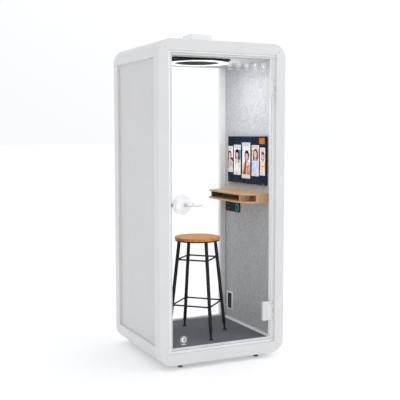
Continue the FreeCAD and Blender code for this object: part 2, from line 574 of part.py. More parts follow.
# ---------------------------------------------------------------- back glass
back_block = box("back_block", ("-{jamb_hw}", "{jamb_hw}"), ("{back_start}", "{back_end}"), JAMB_Z)
back_hole = box("back_hole", ("-{back_hw}", "{back_hw}"), ("{back_start}-5", "{back_end}+5"),
                ("{back_bottom}", "{back_top}"))
back_step = box("back_step", ("-{back_hw}-{back_rebate}", "{back_hw}+{back_rebate}"),
                ("{back_glass_y}", "{back_end}+5"), ("{back_bottom}-{back_rebate}", "{back_top}+{back_rebate}"))
node(cut("back_cut", back_block, [back_hole, back_step]), "rear_window_frame")
node(slab("back_pane", ("-{back_hw}-{back_rebate}+1", "{back_hw}+{back_rebate}-1"),
          ("{back_glass_y}", "{back_glass_y}+{glass_t}"),
          ("{back_bottom}-{back_rebate}+1", "{back_top}+{back_rebate}-1"), "4"), "rear_glass")

# -------------------------------------------------------------- ceiling lamp
plate_z = ("{ceiling_z}-{lamp_plate_t}", "{ceiling_z}")
lamp_plate = box("lamp_plate", ("{lamp_left}", "{lamp_right}"), ("{lamp_front}", "{lamp_back}"), plate_z)
disc_z = plate_z[0] + "-{lamp_body_t}"
lamp_disc = cylinder("lamp_disc", "z", "{lamp_r}", "{lamp_body_t}", "{lamp_x}", "{lamp_y}", disc_z)
lamp_boss = cylinder("lamp_boss", "z", "{lamp_in_r}-0.5", "{diffuser_t}", "{lamp_x}", "{lamp_y}",
                     disc_z + "-{diffuser_t}+1")
node(fuse("lamp_fused", [lamp_plate, lamp_disc, lamp_boss]), "lamp_housing")
ring = cylinder("diffuser_disc", "z", "{lamp_r}-2", "{diffuser_t}", "{lamp_x}", "{lamp_y}",
                disc_z + "-{diffuser_t}")
ring_hole = cylinder("diffuser_hole", "z", "{lamp_in_r}", "{diffuser_t}+10", "{lamp_x}", "{lamp_y}",
                     disc_z + "-{diffuser_t}-5")
node(cut("diffuser_cut", ring, [ring_hole]), "lamp_diffuser")

# ---------------------------------------------------------- roof vent and fan
HOOD = "{hood_w}/2"
HOOD_TOP = "{shell_top}+{hood_h}"
VENT_IN = "{vent_y}-{hood_w}/2"
VENT_OUT = "{vent_y}+{hood_w}/2"
hood = box("hood_block", ("-" + HOOD, HOOD), (VENT_IN, VENT_OUT), ("{shell_top}", HOOD_TOP))
hood_tools = [box("hood_bore", ("-{hood_w}/2+{hood_t}", HOOD + "-{hood_t}"),
                  (VENT_IN + "+{hood_t}", VENT_OUT + "-{hood_t}"),
                  ("{shell_top}-5", HOOD_TOP + "-{hood_t}"))]
for i in range(3):
    z = ("{shell_top}+%d" % (22 + 18 * i), "{shell_top}+%d" % (29 + 18 * i))
    hood_tools.append(box("hood_slot_x%d" % i, ("0", HOOD + "+5"),
                          ("{vent_y}-60", "{vent_y}+60"), z))
    hood_tools.append(box("hood_slot_y%d" % i, ("-60", "60"), ("{vent_y}", VENT_OUT + "+5"), z))
node(cut("hood_cut", hood, hood_tools), "roof_vent_hood")

FAN_Z = "{shell_top}-{skin_t}-{fan_h}"
fan_block = box("fan_block", ("-{fan_w}/2", "{fan_w}/2"), ("{vent_y}-{fan_w}/2", "{vent_y}+{fan_w}/2"),
                (FAN_Z, FAN_Z + "+{fan_h}"))
fan_bore = cylinder("fan_bore", "z", "{fan_bore_r}", "{fan_h}+10", "0", "{vent_y}", FAN_Z + "-5")
fan_parts = [cut("fan_ring", fan_block, [fan_bore])]
fan_parts.append(box("fan_strut_x", ("-{fan_bore_r}-1", "{fan_bore_r}+1"), ("{vent_y}-3", "{vent_y}+3"),
                     (FAN_Z, FAN_Z + "+4")))
fan_parts.append(box("fan_strut_y", ("-3", "3"), ("{vent_y}-{fan_bore_r}-1", "{vent_y}+{fan_bore_r}+1"),
                     (FAN_Z, FAN_Z + "+4")))
fan_parts.append(cylinder("fan_motor", "z", "{hub_r}-1", "6", "0", "{vent_y}", FAN_Z))
fan_parts.append(cylinder("fan_post", "z", "{post_r}", "24", "0", "{vent_y}", FAN_Z))
node(fuse("fan_frame_fused", fan_parts), "fan_frame")

rotor_parts = [cylinder("rotor_hub", "z", "{hub_r}", "22", "0", "{vent_y}", FAN_Z + "+7")]
for i in range(7):
    turn = FreeCAD.Rotation(FreeCAD.Vector(0, 0, 1), 360.0 * i / 7)
    tilt = FreeCAD.Rotation(FreeCAD.Vector(1, 0, 0), 32)
    blade = doc.addObject("Part::Box", "rotor_blade_%d" % i)
    blade.setExpression("Length", expr("{rotor_r}-{hub_r}+3"))
    blade.Width, blade.Height = 26, 2
    offset = FreeCAD.Placement(FreeCAD.Vector(D["hub_r"] - 4, 0, 0), tilt)
    offset = offset.multiply(FreeCAD.Placement(FreeCAD.Vector(0, -13, -1), FreeCAD.Rotation()))
    centre = FreeCAD.Vector(0, FRONT + D["vent_y"], D["shell_top"] - D["skin_t"] - D["fan_h"] + 18)
    blade.Placement = FreeCAD.Placement(centre, turn).multiply(offset)
    rotor_parts.append(blade)
rotor_bore = cylinder("rotor_bore", "z", "{post_r}+{post_gap}", "18.5", "0", "{vent_y}", FAN_Z + "+6")
node(cut("rotor_cut", fuse("rotor_fused", rotor_parts), [rotor_bore]), "fan_rotor")

# ------------------------------------------------------------------- display
SCREEN_Y = ("{screen_y0}", "{screen_y1}")
SCREEN_Z = ("{screen_z0}", "{screen_z1}")
HOUSING_X = "{screen_x}+{screen_t}"
housing = box("housing_block", (HOUSING_X, "{cabin_hw}"), SCREEN_Y, SCREEN_Z)
cavity = box("housing_cavity", (HOUSING_X + "-5", "{cabin_hw}-{housing_t}"),
             ("{screen_y0}+{housing_t}", "{screen_y1}-{housing_t}"),
             ("{screen_z0}+{housing_t}", "{screen_z1}-{housing_t}"))
node(cut("housing_cut", housing, [cavity]), "display_housing")
node(box("screen_glass", ("{screen_x}", HOUSING_X), SCREEN_Y, SCREEN_Z), "display_screen")
camera_box = box("camera_box", (HOUSING_X + "+3", "{cabin_hw}-{housing_t}"), ("423", "459"),
                 ("{screen_z1}-26", "{screen_z1}-{housing_t}"))
camera_lens = cylinder("camera_lens", "x", "5", "4", HOUSING_X, "441", "{screen_z1}-13")
node(fuse("camera_fused", [camera_box, camera_lens]), "camera_module")
node(slab("computer_case", ("150", "350"), ("150", "330"), (CEILING_TOP, CEILING_TOP + "+40"), "6"),
     "computer_unit")

# --------------------------------------------------------------------- shelf
SHELF_X = ("{shelf_x}", "{cabin_hw}")
SHELF_Y = ("{shelf_y0}", "{shelf_y1}")
UP_Z = ("{shelf_z0}+{board_t}", "{shelf_z1}-{top_t}")
node(board("shelf_top_board", SHELF_X, SHELF_Y, ("{shelf_z1}-{top_t}", "{shelf_z1}"), "{shelf_r}"),
     "shelf_top")
node(board("shelf_low_board", SHELF_X, SHELF_Y, ("{shelf_z0}", "{shelf_z0}+{board_t}"), "{shelf_r}"),
     "shelf_bottom")
node(box("divider", ("{shelf_x}+15", "{cabin_hw}"), ("211", "223"), UP_Z), "shelf_divider")
end_panel = box("end_panel", ("{end_x}", "{cabin_hw}"), ("{end_y0}", "{end_y1}"), UP_Z)
bay_back = box("bay_back", ("{shelf_back_x}", "{shelf_back_x}+12"), ("223", "{end_y0}"), UP_Z)
node(group("back_and_end", [end_panel, bay_back]), "shelf_back_and_end")
node(box("corner_block", ("330", "{cabin_hw}"), ("{shelf_y0}+0.5", "211"), UP_Z), "shelf_corner_block")

# -------------------------------------------------------------- wall modules
MOD_X = ("{cabin_hw}-{mod_t}", "{cabin_hw}")
MOD_Z = ("{mod_z0}", "{mod_z1}")
BACK_X = ("{cabin_hw}-1", "{cabin_hw}+{mod_back}")
BACK_Z = ("{mod_z0}+8", "{mod_z1}-8")


def module(name, y0, y1, tools):
    """Wall module: a bezel on the wall and a body let into it."""
    bezel = box(name + "_bezel", MOD_X, (y0, y1), MOD_Z)
    body = box(name + "_body", BACK_X, (y0 + "+9", y1 + "-9"), BACK_Z)
    return cut(name, fuse(name + "_solid", [bezel, body]), tools)


button_hole = cylinder("button_hole", "x", "{ring_in}", "{mod_t}+7", "{cabin_hw}-{mod_t}-5", "{button_y}",
                       "{button_z}")
node(module("button_mod", "{mod_y0}", "{mod_y1}-0.3", [button_hole]), "button_module")
lit = cylinder("ring_disc", "x", "{ring_out}", "1", "{cabin_hw}-{mod_t}-1", "{button_y}", "{button_z}")
lit_hole = cylinder("ring_hole", "x", "{ring_in}", "11", "{cabin_hw}-{mod_t}-6", "{button_y}", "{button_z}")
node(cut("ring_cut", lit, [lit_hole]), "button_ring")
node(cylinder("button_cap", "x", "{button_r}", "5", "{cabin_hw}-{mod_t}-1.6", "{button_y}", "{button_z}"),
     "start_button")

socket_slots = []
for i, (y, z, dy, dz) in enumerate(((0, 12, 2.5, 6), (-13, -10, 6, 2.5), (13, -10, 6, 2.5))):
    socket_slots.append(box("socket_slot_%d" % i, ("{cabin_hw}-{mod_t}-5", "{cabin_hw}+10"),
                            ("690+%d-%s/2" % (y, dy), "690+%d+%s/2" % (y, dy)),
                            ("1070+%d-%s/2" % (z, dz), "1070+%d+%s/2" % (z, dz))))
node(module("socket_mod", "{mod_y1}+0.3", "{mod_y2}-0.3", socket_slots), "socket_module")
usb_slots = []
for i, z in enumerate((1054, 1084)):
    usb_slots.append(box("usb_slot_%d" % i, ("{cabin_hw}-{mod_t}-5", "{cabin_hw}+6"), ("759", "772"),
                         ("%d-2.5" % z, "%d+2.5" % z)))
node(module("usb_mod", "{mod_y2}+0.3", "{mod_y3}", usb_slots), "usb_module")

# ---------------------------------------------------------------- air inlet
INLET_X = ("{cabin_hw}-{inlet_t}", "{cabin_hw}")
HOLE_Y = ("{inlet_y0}+19", "{inlet_y1}-18")
HOLE_Z = ("{inlet_z0}+7", "{inlet_z1}-12")
inlet_block = box("inlet_block", INLET_X, ("{inlet_y0}", "{inlet_y1}"), ("{inlet_z0}", "{inlet_z1}"))
inlet_window = box("inlet_window", ("{cabin_hw}-{inlet_t}-5", "{cabin_hw}+5"), HOLE_Y, HOLE_Z)
node(cut("inlet_cut", inlet_block, [inlet_window]), "vent_frame")
grille = box("grille_block", ("{cabin_hw}-4", "{cabin_hw}"), HOLE_Y, HOLE_Z)
louvres = []
for i in range(11):
    for tag, ys in (("a", (HOLE_Y[0] + "+5", HOLE_Y[0] + "+29")), ("b", (HOLE_Y[1] + "-29", HOLE_Y[1] + "-5"))):
        z = "{inlet_z0}+%s" % (12.5 + 10.8 * i)
        louvres.append(box("louvre_%s%d" % (tag, i), ("{cabin_hw}-9", "{cabin_hw}+5"), ys, (z, z + "+6")))
node(cut("grille_cut", grille, louvres), "vent_grille")

# --------------------------------------------------------------- power inlet
inlet_body = box("power_body", ("370", "418"), ("868", "{shell_d}"), ("62", "90"))
inlet_socket = box("power_socket", ("378", "410"), ("{shell_d}-18", "{shell_d}+5"), ("66", "86"))
power_parts = [cut("power_shell", inlet_body, [inlet_socket])]
for i, (x, z) in enumerate(((387, 73), (394, 79), (401, 73))):
    power_parts.append(box("power_pin_%d" % i, ("%d-1" % x, "%d+1" % x), ("880", "892"),
                           ("%d-2" % z, "%d+2" % z)))
node(fuse("power_fused", power_parts), "power_inlet")

# --------------------------------------------------------------------- stool
seat_body = doc.addObject("PartDesign::Body", "seat_body")
seat_sketch = seat_body.newObject("Sketcher::SketchObject", "seat_outline")
seat_sketch.AttachmentSupport = [(origin_plane(seat_body, "XY_Plane"), "")]
seat_sketch.MapMode = "FlatFace"
seat_sketch.addGeometry(Part.Circle(FreeCAD.Vector(0, 0, 0), FreeCAD.Vector(0, 0, 1), D["seat_r"]), False)
seat_sketch.addConstraint(Sketcher.Constraint("Coincident", 0, 3, -1, 1))
radius_id = seat_sketch.addConstraint(Sketcher.Constraint("Radius", 0, D["seat_r"]))
seat_sketch.renameConstraint(radius_id, "seat_radius")
seat_sketch.setExpression("Constraints.seat_radius", expr("{seat_r}"))
seat_pad = seat_body.newObject("PartDesign::Pad", "seat_pad")
seat_pad.Profile = seat_sketch
seat_pad.setExpression("Length", expr("{seat_t}"))
doc.recompute()
seat_edges = edge_names(seat_pad.Shape, lambda e: isinstance(e.Curve, Part.Circle))
seat_body.Tip = round_edges(seat_body, seat_pad, "seat_round", "{seat_t}/4", seat_edges)
place(seat_body, "{stool_x}", depth_y("{stool_y}"), "{seat_top}-{seat_t}")
node(seat_body, "stool_seat")

SEAT_LOW = "{seat_top}-{seat_t}"
rim_disc = cylinder("rim_disc", "z", "{rim_r}", "{rim_t}", "{stool_x}", "{stool_y}", SEAT_LOW + "-{rim_t}")
rim_hole = cylinder("rim_hole", "z", "{rim_r}-38", "{rim_t}+10", "{stool_x}", "{stool_y}",
                    SEAT_LOW + "-{rim_t}-5")
node(cut("rim_cut", rim_disc, [rim_hole]), "stool_rim")

ankle_z = D["floor_z"] + D["pad_h"]
lean = math.degrees(math.atan2(D["leg_foot_r"] - D["leg_top_r"], D["leg_top_z"] - D["floor_z"]))
leg_length = (D["leg_top_z"] - ankle_z) / math.cos(math.radians(lean))
shrink = (D["leg_foot_r"] - D["leg_top_r"]) / (D["leg_top_z"] - D["floor_z"])


def leg_radius_at(z):
    """Distance of a leg's axis from the stool's axis at a height."""
    return D["leg_foot_r"] - shrink * (z - D["floor_z"])


def on_leg(obj, turn, start):
    """Stand an object on a leaning leg axis, a distance up from the ankle."""
    lean_in = FreeCAD.Rotation(FreeCAD.Vector(0, 1, 0), -lean)
    spin = FreeCAD.Rotation(FreeCAD.Vector(0, 0, 1), turn)
    hub = FreeCAD.Placement(FreeCAD.Vector(D["stool_x"], FRONT + D["stool_y"], 0), spin)
    base = FreeCAD.Placement(FreeCAD.Vector(leg_radius_at(ankle_z), 0, ankle_z), lean_in)
    up = FreeCAD.Placement(FreeCAD.Vector(0, 0, start), FreeCAD.Rotation())
    obj.Placement = hub.multiply(base).multiply(up)


legs, pads = [], []
for i in range(4):
    turn = 90 * i
    thin = doc.addObject("Part::Cylinder", "leg_thin_%d" % i)
    thin.setExpression("Radius", expr("{leg_r}*0.6"))
    thin.Height = 40
    on_leg(thin, turn, 2)
    taper = doc.addObject("Part::Cone", "leg_taper_%d" % i)
    taper.setExpression("Radius1", expr("{leg_r}*0.6"))
    taper.setExpression("Radius2", expr("{leg_r}"))
    taper.Height = 10
    on_leg(taper, turn, 42)
    tube = doc.addObject("Part::Cylinder", "leg_tube_%d" % i)
    tube.setExpression("Radius", expr("{leg_r}"))
    tube.Height = leg_length - 52
    on_leg(tube, turn, 52)
    hollow = doc.addObject("Part::Cylinder", "leg_hollow_%d" % i)
    hollow.setExpression("Radius", expr("{leg_r}-{leg_wall}"))
    hollow.Height = leg_length
    on_leg(hollow, turn, 56)
    legs.append(cut("leg_%d" % i, fuse("leg_solid_%d" % i, [thin, taper, tube]), [hollow]))

    angle = math.radians(turn)
    foot_x = D["stool_x"] + D["leg_foot_r"] * math.cos(angle)
    foot_y = D["stool_y"] + D["leg_foot_r"] * math.sin(angle)
    pads.append(cylinder("pad_%d" % i, "z", "{pad_r}", "{pad_h}", "%.4f" % foot_x, "%.4f" % foot_y,
                         "{floor_z}"))
node(group("legs_four", legs), "stool_legs")
node(group("pads_four", pads), "stool_foot_pads")


def footrest(name, alias):
    """Four rods between neighbouring legs, ends shaped to the tubes."""
    radius = leg_radius_at(D[alias])
    rods = []
    for i in range(4):
        start = math.radians(90 * i)
        rod = doc.addObject("Part::Cylinder", "%s_rod_%d" % (name, i))
        rod.setExpression("Radius", expr("{rod_r}"))
        rod.Height = radius * math.sqrt(2)
        begin = FreeCAD.Vector(D["stool_x"] + radius * math.cos(start),
                               FRONT + D["stool_y"] + radius * math.sin(start), D[alias])
        heading = FreeCAD.Rotation(FreeCAD.Vector(0, 0, 1), 90 * i + 135)
        rod.Placement = FreeCAD.Placement(begin, heading.multiply(AXES["x"]))
        tools = []
        for j in (i, (i + 1) % 4):
            around = doc.addObject("Part::Cylinder", "%s_cope_%d_%d" % (name, i, j))
            around.setExpression("Radius", expr("{leg_r}"))
            around.Height = leg_length
            on_leg(around, 90 * j, 0)
            tools.append(around)
        rods.append(cut("%s_%d" % (name, i), rod, tools))
    return group(name + "_four", rods)


node(footrest("rest_high", "rod_high_z"), "stool_footrest_upper")
node(footrest("rest_low", "rod_low_z"), "stool_footrest_lower")

# ------------------------------------------------------------ check and save
doc.recompute()
broken = [o.Name for o in doc.Objects if any(s in ("Invalid", "Error") for s in o.State)]
if broken:
    raise RuntimeError("features that did not compute: %s" % ", ".join(broken))
for part in nodes:
    if part.Shape.isNull() or not part.Shape.isValid():
        raise RuntimeError("bad shape: " + part.Label)
os.makedirs("parts", exist_ok=True)
for part in nodes:
    part.Shape.exportStep("parts/%s.step" % part.Label)
    print(part.Label, len(part.Shape.Solids), round(part.Shape.Volume / 1000.0, 1), "cm3")
print("nodes:", len(nodes))
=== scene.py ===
import json
import math
import random

import bmesh
import bpy
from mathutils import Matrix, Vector


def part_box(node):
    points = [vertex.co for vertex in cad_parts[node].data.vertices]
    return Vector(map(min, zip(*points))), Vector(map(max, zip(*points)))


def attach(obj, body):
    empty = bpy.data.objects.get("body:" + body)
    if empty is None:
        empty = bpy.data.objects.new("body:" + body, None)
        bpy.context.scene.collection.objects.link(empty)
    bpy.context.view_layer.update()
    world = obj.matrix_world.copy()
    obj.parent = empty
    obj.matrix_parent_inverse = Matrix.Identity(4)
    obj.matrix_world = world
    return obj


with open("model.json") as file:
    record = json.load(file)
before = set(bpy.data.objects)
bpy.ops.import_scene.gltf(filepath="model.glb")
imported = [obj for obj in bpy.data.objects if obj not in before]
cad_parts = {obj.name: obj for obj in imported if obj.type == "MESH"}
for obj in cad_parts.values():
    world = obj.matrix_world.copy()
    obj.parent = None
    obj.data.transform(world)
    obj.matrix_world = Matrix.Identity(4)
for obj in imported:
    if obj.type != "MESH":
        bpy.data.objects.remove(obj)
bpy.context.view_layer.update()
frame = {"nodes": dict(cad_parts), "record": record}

# Looks of a single-person photo booth. Metres, in the frame of the CAD model:
# +Z up, the door faces -Y, the hinges and the fitted wall are at +X.

scene = bpy.context.scene
FRONT_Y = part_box("front_frame")[0].y
MM = 0.001
NODES = frame["nodes"]


def depth(mm):
    """Y of a depth behind the front face, given in millimetres."""
    return FRONT_Y + mm * MM


# ---- camera
LENS_MM = 69.44
CAMERA_AT = Vector((-2.511, -5.265, 1.650))
CAMERA_YAW = math.radians(25.62)
CAMERA_PITCH = math.radians(-4.84)

camera_data = bpy.data.cameras.new("camera")
camera_data.lens = LENS_MM
camera_data.sensor_width = 36
camera = bpy.data.objects.new("camera", camera_data)
camera.location = CAMERA_AT
camera.rotation_euler = (math.pi / 2 + CAMERA_PITCH, 0, -CAMERA_YAW)
scene.collection.objects.link(camera)
scene.camera = camera
scene.view_settings.view_transform = "Standard"


# ---- material builder
EVEN = (1, 1, 1)        # a pattern that is not stretched
UPRIGHT = (0, 0, 0)     # a pattern that is not turned


def linear(r, g, b):
    """Colour given in sRGB 0..255, as linear values."""
    return tuple(((c / 255 + 0.055) / 1.055) ** 2.4 if c > 10 else c / 255 / 12.92
                 for c in (r, g, b))


class Look:
    """One procedural material, built node by node on object coordinates."""

    def __init__(self, name):
        self.material = bpy.data.materials.new(name)
        self.material.use_nodes = True
        self.tree = self.material.node_tree
        self.surface = self.tree.nodes["Principled BSDF"]
        self.coords = self.node("TexCoord")
        self.point = self.coords.outputs["Object"]

    def node(self, kind, feeds=None, **settings):
        made = self.tree.nodes.new("ShaderNode" + kind)
        for key, value in settings.items():
            setattr(made, key, value)
        for key, value in (feeds or {}).items():
            self.feed(made.inputs[key], value)
        return made

    def feed(self, socket, value):
        if isinstance(value, bpy.types.NodeSocket):
            self.tree.links.new(value, socket)
        elif socket.type == "RGBA":
            socket.default_value = (*value, 1.0)
        else:
            socket.default_value = value

    def stretched(self, scale, turn=UPRIGHT):
        """Coordinates turned and then stretched, so that a grain can lie at any angle."""
        turned = self.node("Mapping", {"Vector": self.point, "Rotation": turn})
        made = self.node("Mapping", {"Vector": turned.outputs["Vector"], "Scale": scale})
        return made.outputs["Vector"]

    def noise(self, scale, detail=3, stretch=EVEN, turn=UPRIGHT, warp=0.0):
        return self.node("TexNoise", {
            "Vector": self.stretched(stretch, turn), "Scale": scale, "Detail": detail,
            "Distortion": warp}).outputs["Fac"]

    def bands(self, scale, axis, warp=0.0, stretch=EVEN, detail=2):
        return self.node("TexWave", {
            "Vector": self.stretched(stretch), "Scale": scale, "Distortion": warp,
            "Detail": detail}, bands_direction=axis).outputs["Fac"]

    def remap(self, value, low, high, start=0.0, end=1.0):
        """Carries start..end over to low..high, and stays within it."""
        return self.node("MapRange", {
            "Value": value, "From Min": start, "From Max": end,
            "To Min": low, "To Max": high}).outputs["Result"]

    def spread(self, noise, low, high):
        """Carries the middle of a noise, where most of it lies, over to low..high."""
        return self.remap(noise, low, high, 0.3, 0.7)

    def sum(self, a, b, operation="ADD"):
        return self.node("Math", {0: a, 1: b}, operation=operation).outputs[0]

    def mix(self, share, a, b):
        """Colour a, passing over to b as share goes from 0 to 1."""
        return self.node("Mix", {0: share, 6: a, 7: b}, data_type="RGBA").outputs[2]

    def ramp(self, value, stops):
        made = self.node("ValToRGB", {"Fac": value})
        band = made.color_ramp.elements
        while len(band) < len(stops):
            band.new(0.5)
        for element, (place, colour) in zip(band, stops):
            element.position = place
            element.color = (*colour, 1.0)
        return made.outputs["Color"]

    def facing(self, axis):
        """How far the surface looks along X, Y or Z."""
        split = self.node("SeparateXYZ", {"Vector": self.coords.outputs["Normal"]})
        return split.outputs[axis]

    def bump(self, height, distance, strength, below=None):
        feeds = {"Height": height, "Distance": distance, "Strength": strength}
        if below is not None:
            feeds["Normal"] = below
        return self.node("Bump", feeds).outputs["Normal"]

    def edge_mask(self, radius):
        """1 along the edges of the solid, 0 on its faces."""
        soft = self.node("Bevel", {"Radius": radius}, samples=4)
        plain = self.node("NewGeometry").outputs["Normal"]
        dot = self.node("VectorMath", {0: soft.outputs["Normal"], 1: plain},
                        operation="DOT_PRODUCT")
        return self.remap(dot.outputs["Value"], 1.0, 0.0, 0.75, 0.98)

    def glow(self, colour, strength):
        self.feed(self.surface.inputs["Emission Color"], colour)
        self.surface.inputs["Emission Strength"].default_value = strength

    def done(self, colour, rough, normal=None, **constants):
        self.feed(self.surface.inputs["Base Color"], colour)
        self.feed(self.surface.inputs["Roughness"], rough)
        if normal is not None:
            self.feed(self.surface.inputs["Normal"], normal)
        for key, value in constants.items():
            self.surface.inputs[key.replace("_", " ")].default_value = value
        return self.material


def shade(colour, factor):
    """The colour made darker or lighter."""
    return tuple(min(1.0, c * factor) for c in colour)


# ---- materials
def powder_coat(name, colour, gloss=0.42, peel=0.35, wear=0.5, shine=0.4):
    """Sprayed powder coat: orange peel, faint cloudiness, edges rubbed lighter."""
    k = Look(name)
    cloud = k.noise(2.6, 3)
    speck = k.noise(700, 2)
    tone = k.mix(k.spread(cloud, 0.0, 1.0), shade(colour, 0.972), shade(colour, 1.012))
    tone = k.mix(k.remap(speck, 0.0, 0.10, 0.35, 0.75), tone, shade(colour, 0.90))
    rub = k.sum(k.edge_mask(0.003), k.remap(k.noise(28, 4), 0.0, wear, 0.45, 0.65), "MULTIPLY")
    tone = k.mix(rub, tone, shade(colour, 1.10 if colour[0] > 0.3 else 2.6))
    rough = k.sum(k.spread(k.noise(9, 4), gloss - 0.05, gloss + 0.06),
                  k.spread(speck, -0.03, 0.03))
    normal = k.bump(k.noise(420, 2), 0.0004, peel * 0.35)
    normal = k.bump(k.noise(5, 1), 0.004, 0.03, normal)
    return k.done(tone, rough, normal, Specular_IOR_Level=shine)


def felt(name, colour):
    """Pressed polyester felt: short fibres at many angles over soft mottling."""
    k = Look(name)
    fibre_a = k.noise(260, 3, (1, 1, 0.16), (-0.75, 0, 0))
    fibre_b = k.noise(240, 3, (1, 0.16, 1), (0.35, 0, 0))
    fibre_c = k.noise(300, 3, (1, 1, 0.14), (0.6, 0, 0))
    mottle = k.noise(80, 3, (1, 1, 0.50), (-0.93, 0, 0), 0.8)
    patch = k.noise(32, 2, (1, 1, 0.55), (-0.85, 0, 0), 0.8)
    cloud = k.noise(7, 2)
    tone = k.mix(k.remap(mottle, 0, 1, 0.38, 0.62), shade(colour, 0.72), shade(colour, 1.23))
    tone = k.mix(k.remap(patch, 0, 0.75, 0.42, 0.60), tone, shade(colour, 1.12))
    tone = k.mix(k.spread(cloud, 0, 0.5), tone, shade(colour, 0.95))
    tone = k.mix(k.remap(fibre_a, 0, 0.8, 0.55, 0.72), tone, shade(colour, 1.22))
    tone = k.mix(k.remap(fibre_b, 0, 0.6, 0.56, 0.72), tone, shade(colour, 0.70))
    height = k.sum(k.sum(fibre_a, fibre_b), fibre_c)
    normal = k.bump(height, 0.0010, 0.5)
    normal = k.bump(mottle, 0.0035, 0.55, normal)
    return k.done(tone, k.spread(fibre_c, 0.88, 1.0), normal,
                  Sheen_Weight=0.25, Sheen_Roughness=0.6, Specular_IOR_Level=0.2)


def wood(name, light, dark, grain, scale=1.0, gloss=0.42, shine=0.16, inside=1.0):
    """Lacquered wood. grain is the axis that the grain runs along: X, Y or Z.

    inside is how dark the faces that look towards -X are painted: painted shade, standing in for
    the shade inside the shelf; 1.0 paints none.
    """
    k = Look(name)
    along = {"X": (0.07, 1, 1), "Y": (1, 0.07, 1), "Z": (1, 1, 0.07)}[grain]
    across = {"X": "Y", "Y": "X", "Z": "Y"}[grain]
    rings = k.bands(9 * scale, across, 5.0, along, 3)
    broad = k.noise(11 * scale, 3, along, (0, 0, 0), 1.2)
    fine = k.noise(95 * scale, 4, tuple(v if v == 1 else 0.025 for v in along), (0, 0, 0), 0.3)
    pores = k.noise(420 * scale, 2, tuple(v if v == 1 else 0.03 for v in along))
    middle = tuple((a + b) / 2 for a, b in zip(light, dark))
    tone = k.ramp(k.sum(k.remap(broad, 0.0, 0.55), k.remap(rings, 0.0, 0.45)), [
        (0.15, light), (0.55, shade(middle, 1.12)), (0.95, shade(dark, 1.08))])
    tone = k.mix(k.remap(fine, 0, 0.55, 0.45, 0.75), tone, shade(dark, 0.92))
    tone = k.mix(k.remap(pores, 0, 0.6, 0.60, 0.74), tone, shade(dark, 0.55))
    # painted shade: the faces towards -X get a darker copy of the wood's colours, for the shade
    # inside the shelf
    if inside < 1.0:
        painted_shade_side = k.remap(k.facing("X"), 1.0, 0.0, -0.99, -0.90)
        painted_shade_tone = k.mix(k.remap(fine, 0, 1, 0.4, 0.7), shade(light, inside), shade(dark, inside))
        tone = k.mix(painted_shade_side, tone, painted_shade_tone)
    rough = k.remap(k.sum(fine, pores), gloss - 0.08, gloss + 0.14, 0.8, 1.2)
    normal = k.bump(pores, 0.0003, 0.25)
    normal = k.bump(fine, 0.0006, 0.2, normal)
    return k.done(tone, rough, normal, Specular_IOR_Level=shine)


def ribbed_mat(name, colour):
    """Needle-felt carpet mat with fine ribs and mixed fibres."""
    k = Look(name)
    ribs = k.bands(95, "Y", 0.5, detail=1)
    flecks = k.noise(900, 2, (1, 0.6, 1))
    tread = k.noise(6, 4)
    tone = k.mix(k.spread(tread, 0, 1), shade(colour, 0.85), shade(colour, 1.15))
    tone = k.mix(k.remap(flecks, 0, 0.7, 0.5, 0.75), tone, shade(colour, 1.9))
    tone = k.mix(k.remap(ribs, 0.35, 0.0), tone, shade(colour, 0.5))
    normal = k.bump(ribs, 0.0012, 0.6)
    normal = k.bump(flecks, 0.0006, 0.5, normal)
    return k.done(tone, k.spread(flecks, 0.82, 0.98), normal, Sheen_Weight=0.15)


def moulded(name, colour, gloss=0.4, grain=0.3, lustre=0.0, shine=0.4):
    """Moulded plastic or rubber with a spark-eroded texture."""
    k = Look(name)
    grit = k.noise(1600, 2)
    flow = k.noise(14, 3)
    tone = k.mix(k.spread(flow, 0, 1), shade(colour, 0.93), shade(colour, 1.06))
    tone = k.mix(k.remap(grit, 0, 0.2, 0.4, 0.7), tone, shade(colour, 1.15))
    rub = k.sum(k.edge_mask(0.0012), k.remap(k.noise(60, 3), 0.0, 0.5, 0.4, 0.65), "MULTIPLY")
    tone = k.mix(rub, tone, shade(colour, 1.15 if colour[0] > 0.3 else 2.4))
    rough = k.sum(k.spread(flow, gloss - 0.06, gloss + 0.08),
                  k.spread(grit, -0.03, 0.04))
    return k.done(tone, rough, k.bump(grit, 0.00025, grain), Coat_Weight=lustre,
                  Coat_Roughness=0.12, Specular_IOR_Level=shine)


def brushed(name, colour, gloss, along=(0.04, 1, 1)):
    """Brushed or satin metal with fine lines and faint handling marks."""
    k = Look(name)
    lines = k.noise(700, 3, along)
    marks = k.noise(30, 4)
    tone = k.mix(k.spread(lines, 0, 1), shade(colour, 0.88), shade(colour, 1.08))
    rough = k.sum(k.spread(marks, gloss - 0.06, gloss + 0.1),
                  k.spread(lines, -0.04, 0.04))
    return k.done(tone, rough, k.bump(lines, 0.0002, 0.25), Metallic=1.0)


def spangled_zinc(name):
    """Hot-dip zinc with its crystal pattern."""
    k = Look(name)
    cells = k.node("TexVoronoi", {"Vector": k.point, "Scale": 110.0}).outputs["Color"]
    grey = k.node("RGBToBW", {"Color": cells}).outputs["Val"]
    tone = k.mix(grey, (0.38, 0.40, 0.42), (0.60, 0.62, 0.63))
    return k.done(tone, k.remap(grey, 0.32, 0.52), k.bump(grey, 0.0001, 0.3), Metallic=0.9)


